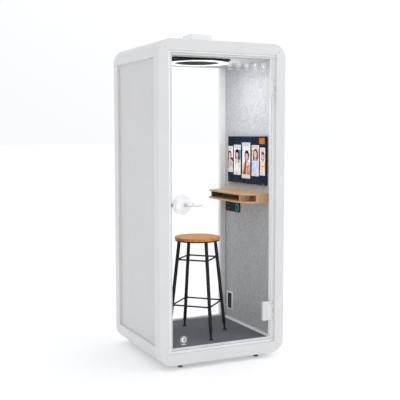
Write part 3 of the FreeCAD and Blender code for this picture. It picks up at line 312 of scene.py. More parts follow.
def clear_pane(name):
    """Clear toughened glass: faint wipe marks, green along the cut edges, and a painted
    reflection: white haze that thickens with the Fresnel factor.
    """
    k = Look(name)
    flat = k.node("Math", {0: k.facing("Y")}, operation="ABSOLUTE").outputs[0]
    cut_edge = k.spread(flat, 1.0, 0.0)
    wipes = k.noise(5, 4, (1, 1, 0.35), (0, 0.5, 0), 1.0)
    tone = k.mix(cut_edge, (0.90, 0.92, 0.92), (0.60, 0.73, 0.70))
    mirror = k.node("Fresnel", {"IOR": 1.35}).outputs["Fac"]
    # wipe marks plus a painted reflection: the white colour shows more where the Fresnel factor is
    # high
    wipes_and_reflection = k.sum(k.spread(wipes, 0.001, 0.003), k.sum(mirror, 0.07, "MULTIPLY"))
    k.feed(k.surface.inputs["Alpha"], k.sum(wipes_and_reflection, k.sum(cut_edge, 0.35, "MULTIPLY"), "MAXIMUM"))
    return k.done(tone, k.spread(wipes, 0.02, 0.07), k.bump(wipes, 0.0002, 0.02),
                  IOR=1.5)


def opal_lamp(name, strength):
    """Opal ring lamp with a soft rhythm of the lights behind it."""
    k = Look(name)
    cells = k.noise(85, 1)
    glow = k.mix(k.spread(cells, 0, 1), (0.93, 0.96, 1.0), (1.0, 1.0, 0.98))
    k.glow(glow, strength)
    return k.done(k.mix(0.65, glow, (0.02, 0.02, 0.02)), k.remap(cells, 0.45, 0.6),
                  k.bump(k.noise(900, 2), 0.0002, 0.2), Specular_IOR_Level=0.1)


def lit(name, first, second, scale, strength, stretch=EVEN):
    """A lit area of the display, mottled between two colours, with a pixel grid."""
    k = Look(name)
    grid = k.sum(k.bands(420, "Y"), k.bands(420, "Z"), "MULTIPLY")
    tone = k.mix(k.remap(k.noise(scale, 3, stretch), 0, 1, 0.32, 0.68), first, second)
    tone = k.mix(k.remap(grid, 0.0, 0.12), tone, shade(first, 0.6))
    k.glow(tone, strength)
    dark = k.mix(0.75, tone, (0.01, 0.01, 0.012))
    return k.done(dark, k.spread(k.noise(40, 3), 0.34, 0.46), Specular_IOR_Level=0.01)


def ink(name, first, second, *rest):
    """A lit area with its two colours given in sRGB."""
    return lit(name, linear(*first), linear(*second), *rest)


WHITE = (0.728, 0.728, 0.727)
OAK = ((0.70, 0.465, 0.270), (0.46, 0.285, 0.150))      # light and dark of the grain
LOOKS = {
    "shell_white": powder_coat("shell_coat", WHITE),
    # painted shade: the side panels get a darker white than the shell, standing in for the shade
    # on the booth's sides
    "panel_white": powder_coat("side_coat", (0.660, 0.660, 0.659), 0.46),
    "jamb_white": powder_coat("jamb_coat", (0.89, 0.89, 0.891), 0.38, 0.25),
    "zinc_steel": spangled_zinc("zinc_plate"),
    "felt_grey": felt("wall_felt", (0.480, 0.497, 0.521)),
    "core_board": felt("core_fibre", (0.16, 0.165, 0.175)),
    "deck_ply": wood("deck_wood", (0.55, 0.40, 0.24), (0.38, 0.26, 0.14), "X", 0.7, 0.7),
    "mat_grey": ribbed_mat("floor_fibre", (0.100, 0.112, 0.136)),
    "trim_light": powder_coat("ceiling_coat", (0.46, 0.46, 0.46), 0.55),
    "gasket_black": moulded("gasket_rubber", (0.74, 0.74, 0.745), 0.75),
    "seal_grey": moulded("seal_rubber", (0.72, 0.73, 0.73), 0.7),
    "clear_glass": clear_pane("pane_glass"),
    "white_plastic": moulded("white_moulding", (0.90, 0.90, 0.905), 0.32, 0.2, 0.2),
    "black_plastic": moulded("black_moulding", (0.016, 0.016, 0.018), 0.50, 0.4, 0.0, 0.06),
    "lever_grey": brushed("lever_satin", (0.70, 0.70, 0.71), 0.36),
    "bolt_steel": brushed("bolt_steel", (0.66, 0.66, 0.67), 0.32, (1, 1, 0.05)),
    "lamp_black": powder_coat("lamp_coat", (0.006, 0.006, 0.006), 0.60, 0.4, 0.1, 0.04),
    "lamp_opal": opal_lamp("lamp_glow", 0.98),
    "screen_black": moulded("screen_glass", (0.012, 0.012, 0.014), 0.3, 0.02, 0.0, 0.05),
    "oak": wood("oak_veneer", *OAK, "Y", 1.0),
    "seat_wood": wood("seat_beech", (0.70, 0.320, 0.070), (0.42, 0.160, 0.032), "X", 1.5,
                      0.40, 0.08),
    "black_steel": powder_coat("stool_coat", (0.013, 0.013, 0.014), 0.48, 0.5, 0.35, 0.16),
    "pad_black": moulded("pad_rubber", (0.022, 0.022, 0.023), 0.7, 0.5),
    "cap_black": moulded("cap_gloss", (0.012, 0.010, 0.011), 0.30, 0.05, 0.0, 0.08),
    "ring_teal": lit("ring_glow", (0.010, 0.36, 0.40), (0.02, 0.50, 0.54), 200, 0.9),
}
# nodes that look different from the rest of their material slot
OWN_LOOKS = (
    # painted shade: the shelf's back and end panels get a far darker oak, standing in for the
    # shade inside the bays
    (wood("oak_painted_shade", (0.20, 0.125, 0.075), (0.10, 0.06, 0.036), "Z", 1.0, 0.6, 0.05),
     ("shelf_back_and_end",)),
    # painted shade: the corner block's faces towards -X are painted darker, for the shade inside
    # the shelf
    (wood("oak_block", *OAK, "Y", 1.0, 0.42, 0.16, 0.38), ("shelf_corner_block",)),
    (powder_coat("hinge_coat", (0.725, 0.725, 0.725), 0.38, 0.25),
     ("hinge_wings", "hinge_back_plates", "hinge_leaves")),
    # painted highlight: the hood gets a whiter coat than the shell, standing in for the bright
    # light on it
    (powder_coat("hood_coat", (0.975, 0.975, 0.978), 0.5), ("roof_vent_hood",)),
    (powder_coat("skirting_coat", (0.82, 0.82, 0.825), 0.5), ("skirting_strips",)),
    (moulded("foot_rubber", (0.10, 0.10, 0.10), 0.7, 0.5), ("levelling_feet",)),
)
for row in frame["record"]["subparts"]:
    NODES[row["node"]].data.materials[0] = LOOKS[row["material_slot"]]
for look, names in OWN_LOOKS:
    for name in names:
        NODES[name].data.materials[0] = look

# CAD edges that would look razor sharp get a small machined break, in millimetres
BREAKS = {
    0.2: ("lamp_housing",),
    0.3: ("vent_grille",),
    0.5: ("usb_module",),
    0.6: ("button_module", "lever_outer", "lever_inner"),
    0.8: ("door_frame", "roof_panel", "base_panel", "roof_vent_hood", "display_housing",
          "shelf_divider", "shelf_back_and_end", "shelf_corner_block", "vent_frame",
          "skirting_strips", "lock_roses", "stool_rim", "levelling_feet"),
    1.0: ("rear_window_frame", "stool_foot_pads"),
    1.2: ("shelf_top", "shelf_bottom"),
}
for width, name in ((width, name) for width, names in BREAKS.items() for name in names):
    weld = NODES[name].modifiers.new("weld", "WELD")
    weld.merge_threshold = 0.01 * MM
    edge = NODES[name].modifiers.new("edge_break", "BEVEL")
    edge.width = width * MM
    edge.segments = 2
    edge.limit_method = "ANGLE"
    edge.angle_limit = math.radians(50)


# ---- mesh building
class Plane:
    """A flat working surface: u and v run along it, height stands out of it."""

    def __init__(self, origin, u, v):
        self.origin = Vector(origin)
        self.u, self.v = Vector(u).normalized(), Vector(v).normalized()
        self.out = self.u.cross(self.v)

    def at(self, u, v, height=0.0):
        return self.origin + self.u * u + self.v * v + self.out * height


def turned_ccw(outline):
    """The outline, running anticlockwise."""
    area = sum(a[0] * b[1] - b[0] * a[1] for a, b in zip(outline, outline[1:] + outline[:1]))
    return outline if area > 0 else outline[::-1]


def plate(bm, plane, outline, low, high, look=0):
    """Closed flat solid with the given outline, between two heights."""
    outline = turned_ccw(list(outline))
    base = [bm.verts.new(plane.at(u, v, low)) for u, v in outline]
    top = [bm.verts.new(plane.at(u, v, high)) for u, v in outline]
    made = [bm.faces.new(top), bm.faces.new(base[::-1])]
    count = len(outline)
    for i in range(count):
        j = (i + 1) % count
        made.append(bm.faces.new((base[i], base[j], top[j], top[i])))
    for face in made:
        face.material_index = look


def band(bm, plane, outer, inner, low, high):
    """Closed flat ring between two outlines with the same number of points."""
    count = len(outer)
    rows = [[bm.verts.new(plane.at(u, v, h)) for u, v in line]
            for line, h in ((outer, low), (outer, high), (inner, high), (inner, low))]
    for i in range(count):
        j = (i + 1) % count
        for a, b in zip(rows, rows[1:] + rows[:1]):
            bm.faces.new((a[i], a[j], b[j], b[i]))


def ellipse(cu, cv, ru, rv, count, start=0.0, end=360.0):
    """Points on an ellipse, or on an arc of one between two angles in degrees."""
    closed = abs(end - start - 360.0) < 1e-6
    steps = count if closed else count - 1
    return [(cu + ru * math.cos(math.radians(start + (end - start) * i / steps)),
             cv + rv * math.sin(math.radians(start + (end - start) * i / steps)))
            for i in range(count)]


def rounded(cu, cv, width, height, radius, count=5):
    """Outline of a rounded rectangle about a centre."""
    points = []
    for k, (su, sv) in enumerate(((1, 1), (-1, 1), (-1, -1), (1, -1))):
        mu, mv = cu + su * (width / 2 - radius), cv + sv * (height / 2 - radius)
        points += ellipse(mu, mv, radius, radius, count, 90 * k, 90 * k + 89.999)
    return points


def mirrored(right):
    """Outline that runs down its right side as given and back up the left."""
    return right + [(-u, v) for u, v in right[::-1] if u]


def smooth_loop(points, steps):
    """Closed smooth line through the points."""
    line, count = [], len(points)
    for i in range(count):
        a, b, c, d = (points[(i + k) % count] for k in (-1, 0, 1, 2))
        for s in range(steps):
            t = s / steps
            line.append(tuple(0.5 * (2 * b[k] + (c[k] - a[k]) * t
                                     + (2 * a[k] - 5 * b[k] + 4 * c[k] - d[k]) * t * t
                                     + (3 * b[k] - a[k] - 3 * c[k] + d[k]) * t ** 3)
                              for k in (0, 1)))
    return line


def lathe(bm, centre, axis, profile, segments, hexagonal=()):
    """Solid of revolution. profile lists (radius, height along the axis), and either
    starts and ends on the axis or comes back to its first point.

    Points listed in hexagonal get six flats, as in a key socket.
    """
    n = Vector(axis).normalized()
    a = n.orthogonal().normalized()
    b = n.cross(a)
    centre = Vector(centre)
    rows = []
    for i, (radius, height) in enumerate(profile):
        if radius < 1e-7:
            rows.append([bm.verts.new(centre + n * height)])
            continue
        row = []
        for s in range(segments):
            t = 2 * math.pi * s / segments
            r = radius
            if i in hexagonal:
                r = radius / math.cos((t + math.pi / 6) % (math.pi / 3) - math.pi / 6)
            row.append(bm.verts.new(centre + (a * math.cos(t) + b * math.sin(t)) * r + n * height))
        rows.append(row)
    for low, high in zip(rows, rows[1:]):
        for s in range(segments):
            t = (s + 1) % segments
            ring = [low[s % len(low)], low[t % len(low)], high[t % len(high)], high[s % len(high)]]
            bm.faces.new([v for k, v in enumerate(ring) if v not in ring[:k]])


def piece(name, bm, body, slot, looks=None, sharp=35):
    """Turns a mesh into a shown piece that rides on a CAD body.

    Without looks it gets the look of its slot. sharp is the angle of an edge left sharp.
    """
    bmesh.ops.recalc_face_normals(bm, faces=bm.faces)
    mesh = bpy.data.meshes.new(name)
    bm.to_mesh(mesh)
    bm.free()
    for look in looks or [LOOKS[slot]]:
        mesh.materials.append(look)
    mesh.polygons.foreach_set("use_smooth", [True] * len(mesh.polygons))
    mesh.set_sharp_from_angle(angle=math.radians(sharp))
    obj = bpy.data.objects.new(name, mesh)
    scene.collection.objects.link(obj)
    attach(obj, body)


def socket_screw(bm, at, out, radius):
    """Button-head screw with a hexagonal key socket, standing on a surface."""
    r = radius
    profile = [(0, -0.2 * r), (0.9 * r, -0.2 * r), (r, 0.05 * r), (0.92 * r, 0.26 * r),
               (0.68 * r, 0.42 * r), (0.45 * r, 0.46 * r), (0.38 * r, 0.46 * r),
               (0.36 * r, 0.12 * r), (0, 0.08 * r)]
    lathe(bm, at, out, profile, 24, (6, 7))


def screws(name, body, spots):
    """One piece of screws, listed as (place, direction of the head, radius)."""
    bm = bmesh.new()
    for at, out, radius in spots:
        socket_screw(bm, at, out, radius)
    piece(name, bm, body, "bolt_steel")


def corners(low, high, inset):
    """The four corners of a rectangle, moved in by inset."""
    return [(a, b) for a in (low[0] + inset, high[0] - inset)
            for b in (low[1] + inset, high[1] - inset)]


# ---- signs on glass
pane_low, pane_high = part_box("door_glass")
pane_front = Plane((0, pane_low.y, 0), (1, 0, 0), (0, 0, 1))
vinyl = moulded("sign_vinyl", (0.98, 0.98, 0.98), 0.5, 0.1)
VINYL_BACK, VINYL_FACE = 0.00005, 0.00035


def vinyl_shape(bm, outline):
    plate(bm, pane_front, outline, VINYL_BACK, VINYL_FACE)


def vinyl_ring(bm, u, v, outer, inner, count=48, shift=0.0):
    """Ring between two circles. shift moves the inner one sideways."""
    band(bm, pane_front, ellipse(u, v, outer, outer, count),
         ellipse(u + shift, v, inner, inner, count), VINYL_BACK, VINYL_FACE)


def vinyl_line(bm, points, width):
    """Flat bar of one width along an open line."""
    left, right = [], []
    for i, p in enumerate(points):
        q, r = points[max(0, i - 1)], points[min(len(points) - 1, i + 1)]
        du, dv = r[0] - q[0], r[1] - q[1]
        size = math.hypot(du, dv)
        left.append((p[0] - dv / size * width / 2, p[1] + du / size * width / 2))
        right.append((p[0] + dv / size * width / 2, p[1] - du / size * width / 2))
    vinyl_shape(bm, left + right[::-1])


def scaled(points, u, v, r):
    """Points given in sign radii about the middle of a sign."""
    return [(u + x * r, v + y * r) for x, y in points]


def sign_sound(bm, u, v, r):
    vinyl_shape(bm, scaled([(-.55, -.18), (-.3, -.18), (0, -.45), (0, .45), (-.3, .18),
                            (-.55, .18)], u, v, r))
    for reach in (0.25, 0.48):
        vinyl_line(bm, ellipse(u, v, reach * r, reach * r * 1.1, 9, -50, 50), 0.1 * r)


def sign_clock(bm, u, v, r):
    vinyl_ring(bm, u, v, .52 * r, .40 * r, 32)
    for hand in ((0, .34), (.24, -.1)):
        vinyl_line(bm, scaled([(0, 0), hand], u, v, r), 0.11 * r)


def sign_fan(bm, u, v, r):
    leaf = [(.10, -.03), (.30, -.16), (.58, -.14), (.60, .10), (.34, .16), (.12, .08)]
    for k in range(4):
        a = math.radians(90 * k + 20)
        du, dv = math.cos(a), math.sin(a)
        turned = [(x * du - y * dv, x * dv + y * du) for x, y in leaf]
        vinyl_shape(bm, smooth_loop(scaled(turned, u, v, r), 4))


def sign_bulb(bm, u, v, r):
    glass = mirrored([(0, .58), (.30, .46), (.38, .16), (.17, -.14)])
    vinyl_shape(bm, smooth_loop(scaled(glass, u, v, r), 5))
    for y in (-.28, -.44):
        vinyl_line(bm, scaled([(-.15, y), (.15, y)], u, v, r), 0.1 * r)


def sign_person(bm, u, v, r):
    vinyl_shape(bm, ellipse(u, v + .30 * r, .19 * r, .19 * r, 20))
    body = mirrored([(0, .06), (.26, -.06), (.42, -.46), (0, -.54)])
    vinyl_shape(bm, smooth_loop(scaled(body, u, v, r), 5))


# a row of five round signs, each over a plain bar
SIGN_X, SIGN_STEP = 0.047, 0.0695
SIGN_Z = pane_high.z - 0.067
SIGN_R, SIGN_RIM = 0.0190, 0.88
BAR_DROP, BAR_TALL, BAR_CORNER = 0.0300, 0.0030, 0.0014
BAR_WIDTHS = (0.036, 0.022, 0.022, 0.022, 0.022)
bm = bmesh.new()
for i, draw in enumerate((sign_sound, sign_clock, sign_fan, sign_bulb, sign_person)):
    u = SIGN_X + SIGN_STEP * i
    vinyl_ring(bm, u, SIGN_Z, SIGN_R, SIGN_R * SIGN_RIM)
    draw(bm, u, SIGN_Z, SIGN_R)
    vinyl_shape(bm, rounded(u, SIGN_Z - BAR_DROP, BAR_WIDTHS[i], BAR_TALL, BAR_CORNER, 3))
piece("door_signs", bm, "door", "white_plastic", [vinyl])

# round sign low on the door: a plain lens mark over a bar
MARK_X, MARK_Z = -0.310, 0.211
MARK_BAR_Z = 0.177
bm = bmesh.new()
vinyl_ring(bm, MARK_X, MARK_Z, 0.026, 0.0240, 56)
vinyl_ring(bm, MARK_X, MARK_Z, 0.0170, 0.0095, 48, 0.004)
vinyl_shape(bm, ellipse(MARK_X + 0.002, MARK_Z + 0.002, 0.0032, 0.0032, 24))
for k in range(6):
    a = math.radians(60 * k + 15)
    vinyl_line(bm, [(MARK_X + s * math.cos(a), MARK_Z + s * math.sin(a))
                    for s in (0.0190, 0.0222)], 0.002)
vinyl_shape(bm, rounded(MARK_X, MARK_BAR_Z, 0.034, 0.004, 0.0015, 3))
piece("door_emblem", bm, "door", "white_plastic", [vinyl])

# ---- display picture
screen_low, screen_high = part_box("display_screen")
# u runs from the far end of the screen towards the door, v upwards
glass_face = Plane((screen_low.x, screen_high.y, screen_low.z), (0, -1, 0), (0, 0, 1))
SCREEN_W = screen_high.y - screen_low.y
SCREEN_H = screen_high.z - screen_low.z
LAYER = 0.00012         # height of one printed layer over the one below it
BEZEL = 0.012           # dark lower edge of the screen
STREAKS = 22


def layer(bm, outline, level, look=0):
    """Flat shape on the screen, the given number of layers high."""
    plate(bm, glass_face, outline, 0.0, LAYER * (level + 1), look)


navy = lit("picture_navy", (0.0008, 0.003, 0.008), (0.002, 0.013, 0.034), 18, 1.0, (1, 1, 0.25))
streak = lit("picture_streak", (0.008, 0.035, 0.085), (0.010, 0.060, 0.130), 60, 1.0, (1, 1, 0.2))
orange = ink("picture_orange", (214, 120, 10), (196, 108, 12), 90, 0.8)
orange_line = ink("picture_orange_line", (170, 88, 25), (160, 80, 22), 90, 0.9)
cyan = ink("picture_cyan", (40, 170, 190), (80, 200, 215), 90, 0.9)

# dark picture with fine upright streaks
bm = bmesh.new()
layer(bm, rounded(SCREEN_W / 2 - 0.001, SCREEN_H / 2 + BEZEL / 2 - 0.002, SCREEN_W - 0.006,
                  SCREEN_H - BEZEL - 0.008, 0.002), 0)
rng = random.Random(7)
for k in range(STREAKS):
    u, v = rng.uniform(0.02, SCREEN_W - 0.04), rng.uniform(0.02, SCREEN_H - 0.06)
    tall = min(rng.uniform(0.02, 0.09), SCREEN_H - BEZEL - v)
    layer(bm, rounded(u, v + tall / 2, rng.uniform(0.0012, 0.003), tall, 0.0005, 2), 1, 1)
piece("display_picture", bm, "booth", "screen_black", [navy, streak])

# orange tile ruled into five rows and columns
TILE_U, TILE_V, TILE_W, TILE_H = 0.545, 0.333, 0.081, 0.044
RULE_W, RULE_END = 0.0008, 0.004
bm = bmesh.new()
layer(bm, rounded(TILE_U, TILE_V, TILE_W, TILE_H, 0.002), 2)
for k in range(1, 5):
    u = TILE_U - TILE_W / 2 + TILE_W * k / 5
    layer(bm, rounded(u, TILE_V, RULE_W, TILE_H - RULE_END, 0.0003, 2), 3, 1)
    v = TILE_V - TILE_H / 2 + TILE_H * k / 5
    layer(bm, rounded(TILE_U, v, TILE_W - RULE_END, RULE_W, 0.0003, 2), 4, 1)
piece("display_tile", bm, "booth", "screen_black", [orange, orange_line])

# small light in the lower edge
LIGHT_U, LIGHT_V, LIGHT_W, LIGHT_H = 0.571, 0.007, 0.013, 0.006
bm = bmesh.new()
plate(bm, glass_face, rounded(LIGHT_U, LIGHT_V, LIGHT_W, LIGHT_H, 0.0025, 4), 0.0, 0.0005)
piece("display_light", bm, "booth", "screen_black", [cyan])

# Portrait cards. Faces follow one plain drawing scheme: eyes half way down the
# head, nose half way from eyes to chin, mouth a third of the rest below it.
paper = ink("card_paper", (236, 236, 238), (206, 206, 214), 120, 0.85)
dark_line = ink("face_line", (52, 38, 36), (66, 48, 44), 300, 0.8)
eye_white = ink("face_eye", (228, 224, 220), (214, 208, 204), 200, 0.7)
lips = ink("face_lips", (188, 96, 92), (172, 84, 84), 200, 0.75)
TICKS = [ink("tick_%d" % i, colour, [v * 0.85 for v in colour], 200, 0.9)
         for i, colour in enumerate(((222, 140, 70), (128, 104, 200), (240, 196, 70),
                                     (206, 100, 130), (104, 84, 80)))]


class Portrait:
    """Draws one card: a generic calm figure on a light ground."""

    INSET = 0.001           # of every shape from the edge of the card
    STRIP_H = 0.030         # printed strip along the foot and the head of the card
    MARGIN = 0.004          # from the card's sides to the ticks in a strip

    def __init__(self, name, u0, u1, v0, v1, head_at, head_h, tones):
        self.name, self.h = name, head_h
        self.frame = (u0, u1, v0, v1)
        self.head = self.share(*head_at)
        self.bm = bmesh.new()
        self.looks = []
        self.level = 1
        self.tones = {key: self.add(look) for key, look in tones.items()}
        self.line, self.eye = self.add(dark_line), self.add(eye_white)
        self.lip = self.add(lips)
        self.paper = self.add(paper)
        self.ticks = [self.add(t) for t in TICKS]

    def add(self, look):
        self.looks.append(look)
        return len(self.looks) - 1

    def share(self, across, up):
        """Place given as shares of the card's width and height."""
        u0, u1, v0, v1 = self.frame
        return (u0 + (u1 - u0) * across, v0 + (v1 - v0) * up)

    def clip(self, outline):
        """Keeps an outline within the card."""
        u0, u1, v0, v1 = self.frame
        kept = []
        for u, v in outline:
            p = (min(max(u, u0 + self.INSET), u1 - self.INSET),
                 min(max(v, v0 + self.INSET), v1 - self.INSET))
            if not kept or math.dist(p, kept[-1]) > 1e-6:
                kept.append(p)
        if math.dist(kept[0], kept[-1]) < 1e-6:
            kept.pop()
        return kept

    def shape(self, points, look, smooth=True, mirror=False):
        """Outline in head heights about the middle of the head."""
        self.level += 1
        for side in ((1, -1) if mirror else (1,)):
            line = [(self.head[0] + side * x * self.h, self.head[1] + y * self.h)
                    for x, y in points]
            layer(self.bm, self.clip(smooth_loop(line, 4) if smooth else line), self.level, look)

    def oval(self, x, y, rx, ry, look, count, mirror=False):
        """Ellipse in head heights about the middle of the head."""
        self.level += 1
        for side in ((1, -1) if mirror else (1,)):
            line = ellipse(self.head[0] + side * x * self.h, self.head[1] + y * self.h,
                           rx * self.h, ry * self.h, count)
            layer(self.bm, self.clip(line), self.level, look)

    def face(self):
        """Neck, ears, head, cheeks, brows, eyes, lids, nose and mouth."""
        skin, shadow = self.tones["skin"], self.tones["shadow"]
        self.shape([(-.13, -.30), (.13, -.30), (.15, -.62), (.30, -.74), (-.30, -.74),
                    (-.15, -.62)], shadow, False)
        self.oval(.365, -.02, .035, .085, shadow, 12, True)
        self.shape(mirrored([(0, .47), (.24, .40), (.355, .16), (.345, -.08), (.27, -.30),
                             (.11, -.475), (0, -.50)]), skin)
        self.shape([(.235, -.16), (.30, -.06), (.30, -.20), (.24, -.28)], shadow, True, True)
        self.shape([(.075, .095), (.16, .130), (.255, .100), (.250, .085), (.16, .108),
                    (.078, .078)], self.line, False, True)
        self.shape([(.085, -.002), (.15, .030), (.225, .004), (.155, -.026)], self.eye, True, True)
        self.oval(.152, .003, .026, .027, self.line, 14, True)
        self.shape([(.080, .002), (.15, .040), (.232, .010), (.228, .000), (.15, .026),
                    (.084, -.006)], self.line, False, True)
        self.shape([(.020, -.02), (.030, -.16), (.062, -.232), (.030, -.250), (.0, -.244),
                    (.004, -.14)], shadow)
        self.shape([(-.085, -.335), (-.03, -.318), (0, -.326), (.03, -.318), (.085, -.335),
                    (.04, -.372), (0, -.380), (-.04, -.372)], self.lip)
        self.shape([(-.085, -.334), (0, -.342), (.085, -.334), (0, -.349)], self.line, False)

    def finish(self):
        """Adds the two strips of coloured ticks and makes the piece."""
        u0, u1, v0, v1 = self.frame
        rng = random.Random(self.name)
        for base in (v0, v1 - self.STRIP_H):
            self.level += 1
            layer(self.bm, rounded((u0 + u1) / 2, base + self.STRIP_H / 2, u1 - u0 - 0.002,
                                   self.STRIP_H - 0.002, 0.002, 3), self.level, self.paper)
            self.level += 1
            for row in range(2):
                u = u0 + self.MARGIN + 0.002
                while u < u1 - self.MARGIN - 0.014:
                    size = rng.uniform(0.006, 0.016)
                    layer(self.bm, rounded(u + size / 2, base + 0.009 + 0.011 * row, size, 0.005,
                                           0.0015, 2), self.level, rng.choice(self.ticks))
                    u += size + rng.uniform(0.004, 0.008)
        piece(self.name, self.bm, "booth", "screen_black", self.looks)


SKIN = ((222, 184, 162), (212, 172, 150), 40)
SHADOW = ((196, 154, 132), (186, 144, 122), 40)
LOCKS = (1, 1, 0.12)        # strands run down


def tones(ground, hair, dress, trim):
    """Looks of one card. Each is (first colour, second colour, scale) and maybe a stretch."""
    made = {}
    for key, (first, second, scale, *stretch) in (
            ("ground", ground), ("skin", SKIN), ("shadow", SHADOW), ("hair", hair),
            ("dress", dress), ("trim", trim)):
        made[key] = ink("card_%s_%d" % (key, len(bpy.data.materials)), first, second, scale,
                        1.0, *stretch)
    return made


prop_looks = {}


def prop_look(colour):
    if colour not in prop_looks:
        prop_looks[colour] = ink("card_prop_%d" % len(prop_looks), colour,
                                 [v * 0.8 for v in colour], 120, 0.95)
    return prop_looks[colour]


# far and near side (mm behind the front face), foot and head of the card (mm above the
# floor), middle of the head as shares of the card, height of the head, hair, looks
CARDS = (
    (733, 656, 1350, 1558, (0.30, 0.66), 0.060, "bob", tones(
        ((228, 226, 224), (212, 212, 214), 30), ((112, 40, 34), (58, 20, 20), 300, LOCKS),
        ((214, 206, 200), (140, 132, 128), 60), ((206, 160, 120), (190, 140, 104), 120))),
    (639, 526, 1332, 1570, (0.50, 0.69), 0.062, "long", tones(
        ((240, 240, 244), (206, 220, 236), 26), ((24, 18, 20), (8, 6, 8), 300, LOCKS),
        ((240, 238, 234), (176, 174, 170), 70, (1, 1, 0.4)),
        ((216, 130, 176), (200, 112, 160), 120))),
    (500, 373, 1310, 1589, (0.58, 0.625), 0.067, "braid", tones(
        ((238, 238, 240), (222, 222, 226), 30), ((26, 18, 16), (8, 6, 6), 300, LOCKS),
        ((222, 160, 122), (150, 92, 62), 60, (1, 1, 0.5)),
        ((232, 176, 136), (206, 148, 108), 120))),
    (348, 239, 1334, 1570, (0.51, 0.71), 0.066, "waves", tones(
        ((226, 226, 230), (214, 202, 190), 30), ((34, 22, 28), (112, 26, 54), 60, LOCKS),
        ((214, 222, 246), (140, 158, 214), 60, (1, 1, 0.5)),
        ((210, 216, 240), (190, 198, 228), 120))),
    (222, 148, 1344, 1553, (0.56, 0.69), 0.054, "bun", tones(
        ((236, 236, 236), (222, 222, 222), 30), ((84, 38, 34), (36, 16, 18), 300, LOCKS),
        ((240, 226, 208), (214, 150, 96), 50), ((228, 170, 96), (214, 150, 76), 120))),
)
# outlines in head heights about the middle of the head
BACK_HAIR = {
    "bob": mirrored([(0, .56), (.34, .44), (.46, .10), (.46, -.30), (.34, -.52)]),
    "long": [(0, .63), (.40, .49), (.54, .05), (.60, -.55), (.74, -1.08), (.32, -1.16),
             (-.34, -.95), (-.55, -.45), (-.53, .10), (-.38, .49)],
    "braid": mirrored([(0, .65), (.36, .52), (.49, .15), (.47, -.20), (.36, -.46)]),
    "waves": mirrored([(0, .60), (.38, .47), (.52, .05), (.56, -.45), (.50, -.85), (.26, -.72)]),
    "bun": [(0, .80), (.17, .76), (.20, .58), (.36, .40), (.44, .05), (.40, -.45), (.26, -.62),
            (-.26, -.55), (-.42, -.40), (-.44, .05), (-.36, .40), (-.20, .58), (-.17, .76)],
}
FRINGE = {
    "bob": [(0, .56), (.33, .44), (.41, .06), (.36, -.10), (.31, .16), (.06, .33), (-.22, .22),
            (-.35, -.08), (-.42, .06), (-.33, .44)],
    "long": mirrored([(0, .61), (.37, .48), (.46, .02), (.37, -.16), (.30, .14), (.10, .19)]),
    "braid": mirrored([(0, .63), (.34, .50), (.44, .10), (.37, -.12), (.30, .17), (0, .33)]),
    "waves": [(0, .59), (.36, .45), (.45, .0), (.38, -.2), (.32, .16), (.02, .42), (-.32, .16),
              (-.38, -.2), (-.45, .0), (-.36, .45)],
    "bun": [(0, .56), (.33, .42), (.40, .06), (.35, -.05), (.28, .22), (-.05, .26), (-.30, .20),
            (-.36, -.05), (-.40, .06), (-.33, .42)],
}
# blocks behind the figures: ((left, right, low, high) as shares of the card, colour)
PROPS = {
    "bob": (((0.60, 1.0, 0.40, 0.56), (26, 22, 24)), ((0.0, 0.5, 0.84, 0.88), (232, 214, 96)),
            ((0.0, 0.16, 0.20, 0.34), (222, 160, 110))),
    "long": (((0.58, 1.0, 0.46, 0.84), (94, 150, 214)), ((0.80, 1.0, 0.40, 0.50), (52, 70, 46)),
             ((0.86, 1.0, 0.48, 0.53), (232, 196, 60)), ((0.08, 0.26, 0.76, 0.82), (236, 160, 70)),
             ((0.62, 0.86, 0.12, 0.24), (78, 70, 46))),
    "braid": tuple(((0.04, 0.96, v, v + 0.006), (168, 166, 172)) for v in (0.62, 0.70, 0.78, 0.86))
    + tuple(((u, u + 0.012, 0.56, 0.93), (176, 174, 180)) for u in (0.20, 0.44, 0.70, 0.92))
    + (((0.72, 0.90, 0.63, 0.69), (214, 160, 130)),),
    "waves": (((0.0, 0.16, 0.36, 0.52), (44, 74, 150)), ((0.04, 0.16, 0.66, 0.84), (236, 206, 90)),
              ((0.82, 1.0, 0.60, 0.90), (196, 186, 196)),
              ((0.20, 0.40, 0.90, 0.94), (120, 116, 180))),
    "bun": (((0.06, 0.96, 0.925, 0.955), (84, 60, 48)), ((0.16, 0.34, 0.82, 0.87), (238, 150, 90)),
            ((0.0, 1.0, 0.08, 0.15), (130, 120, 128))),
}
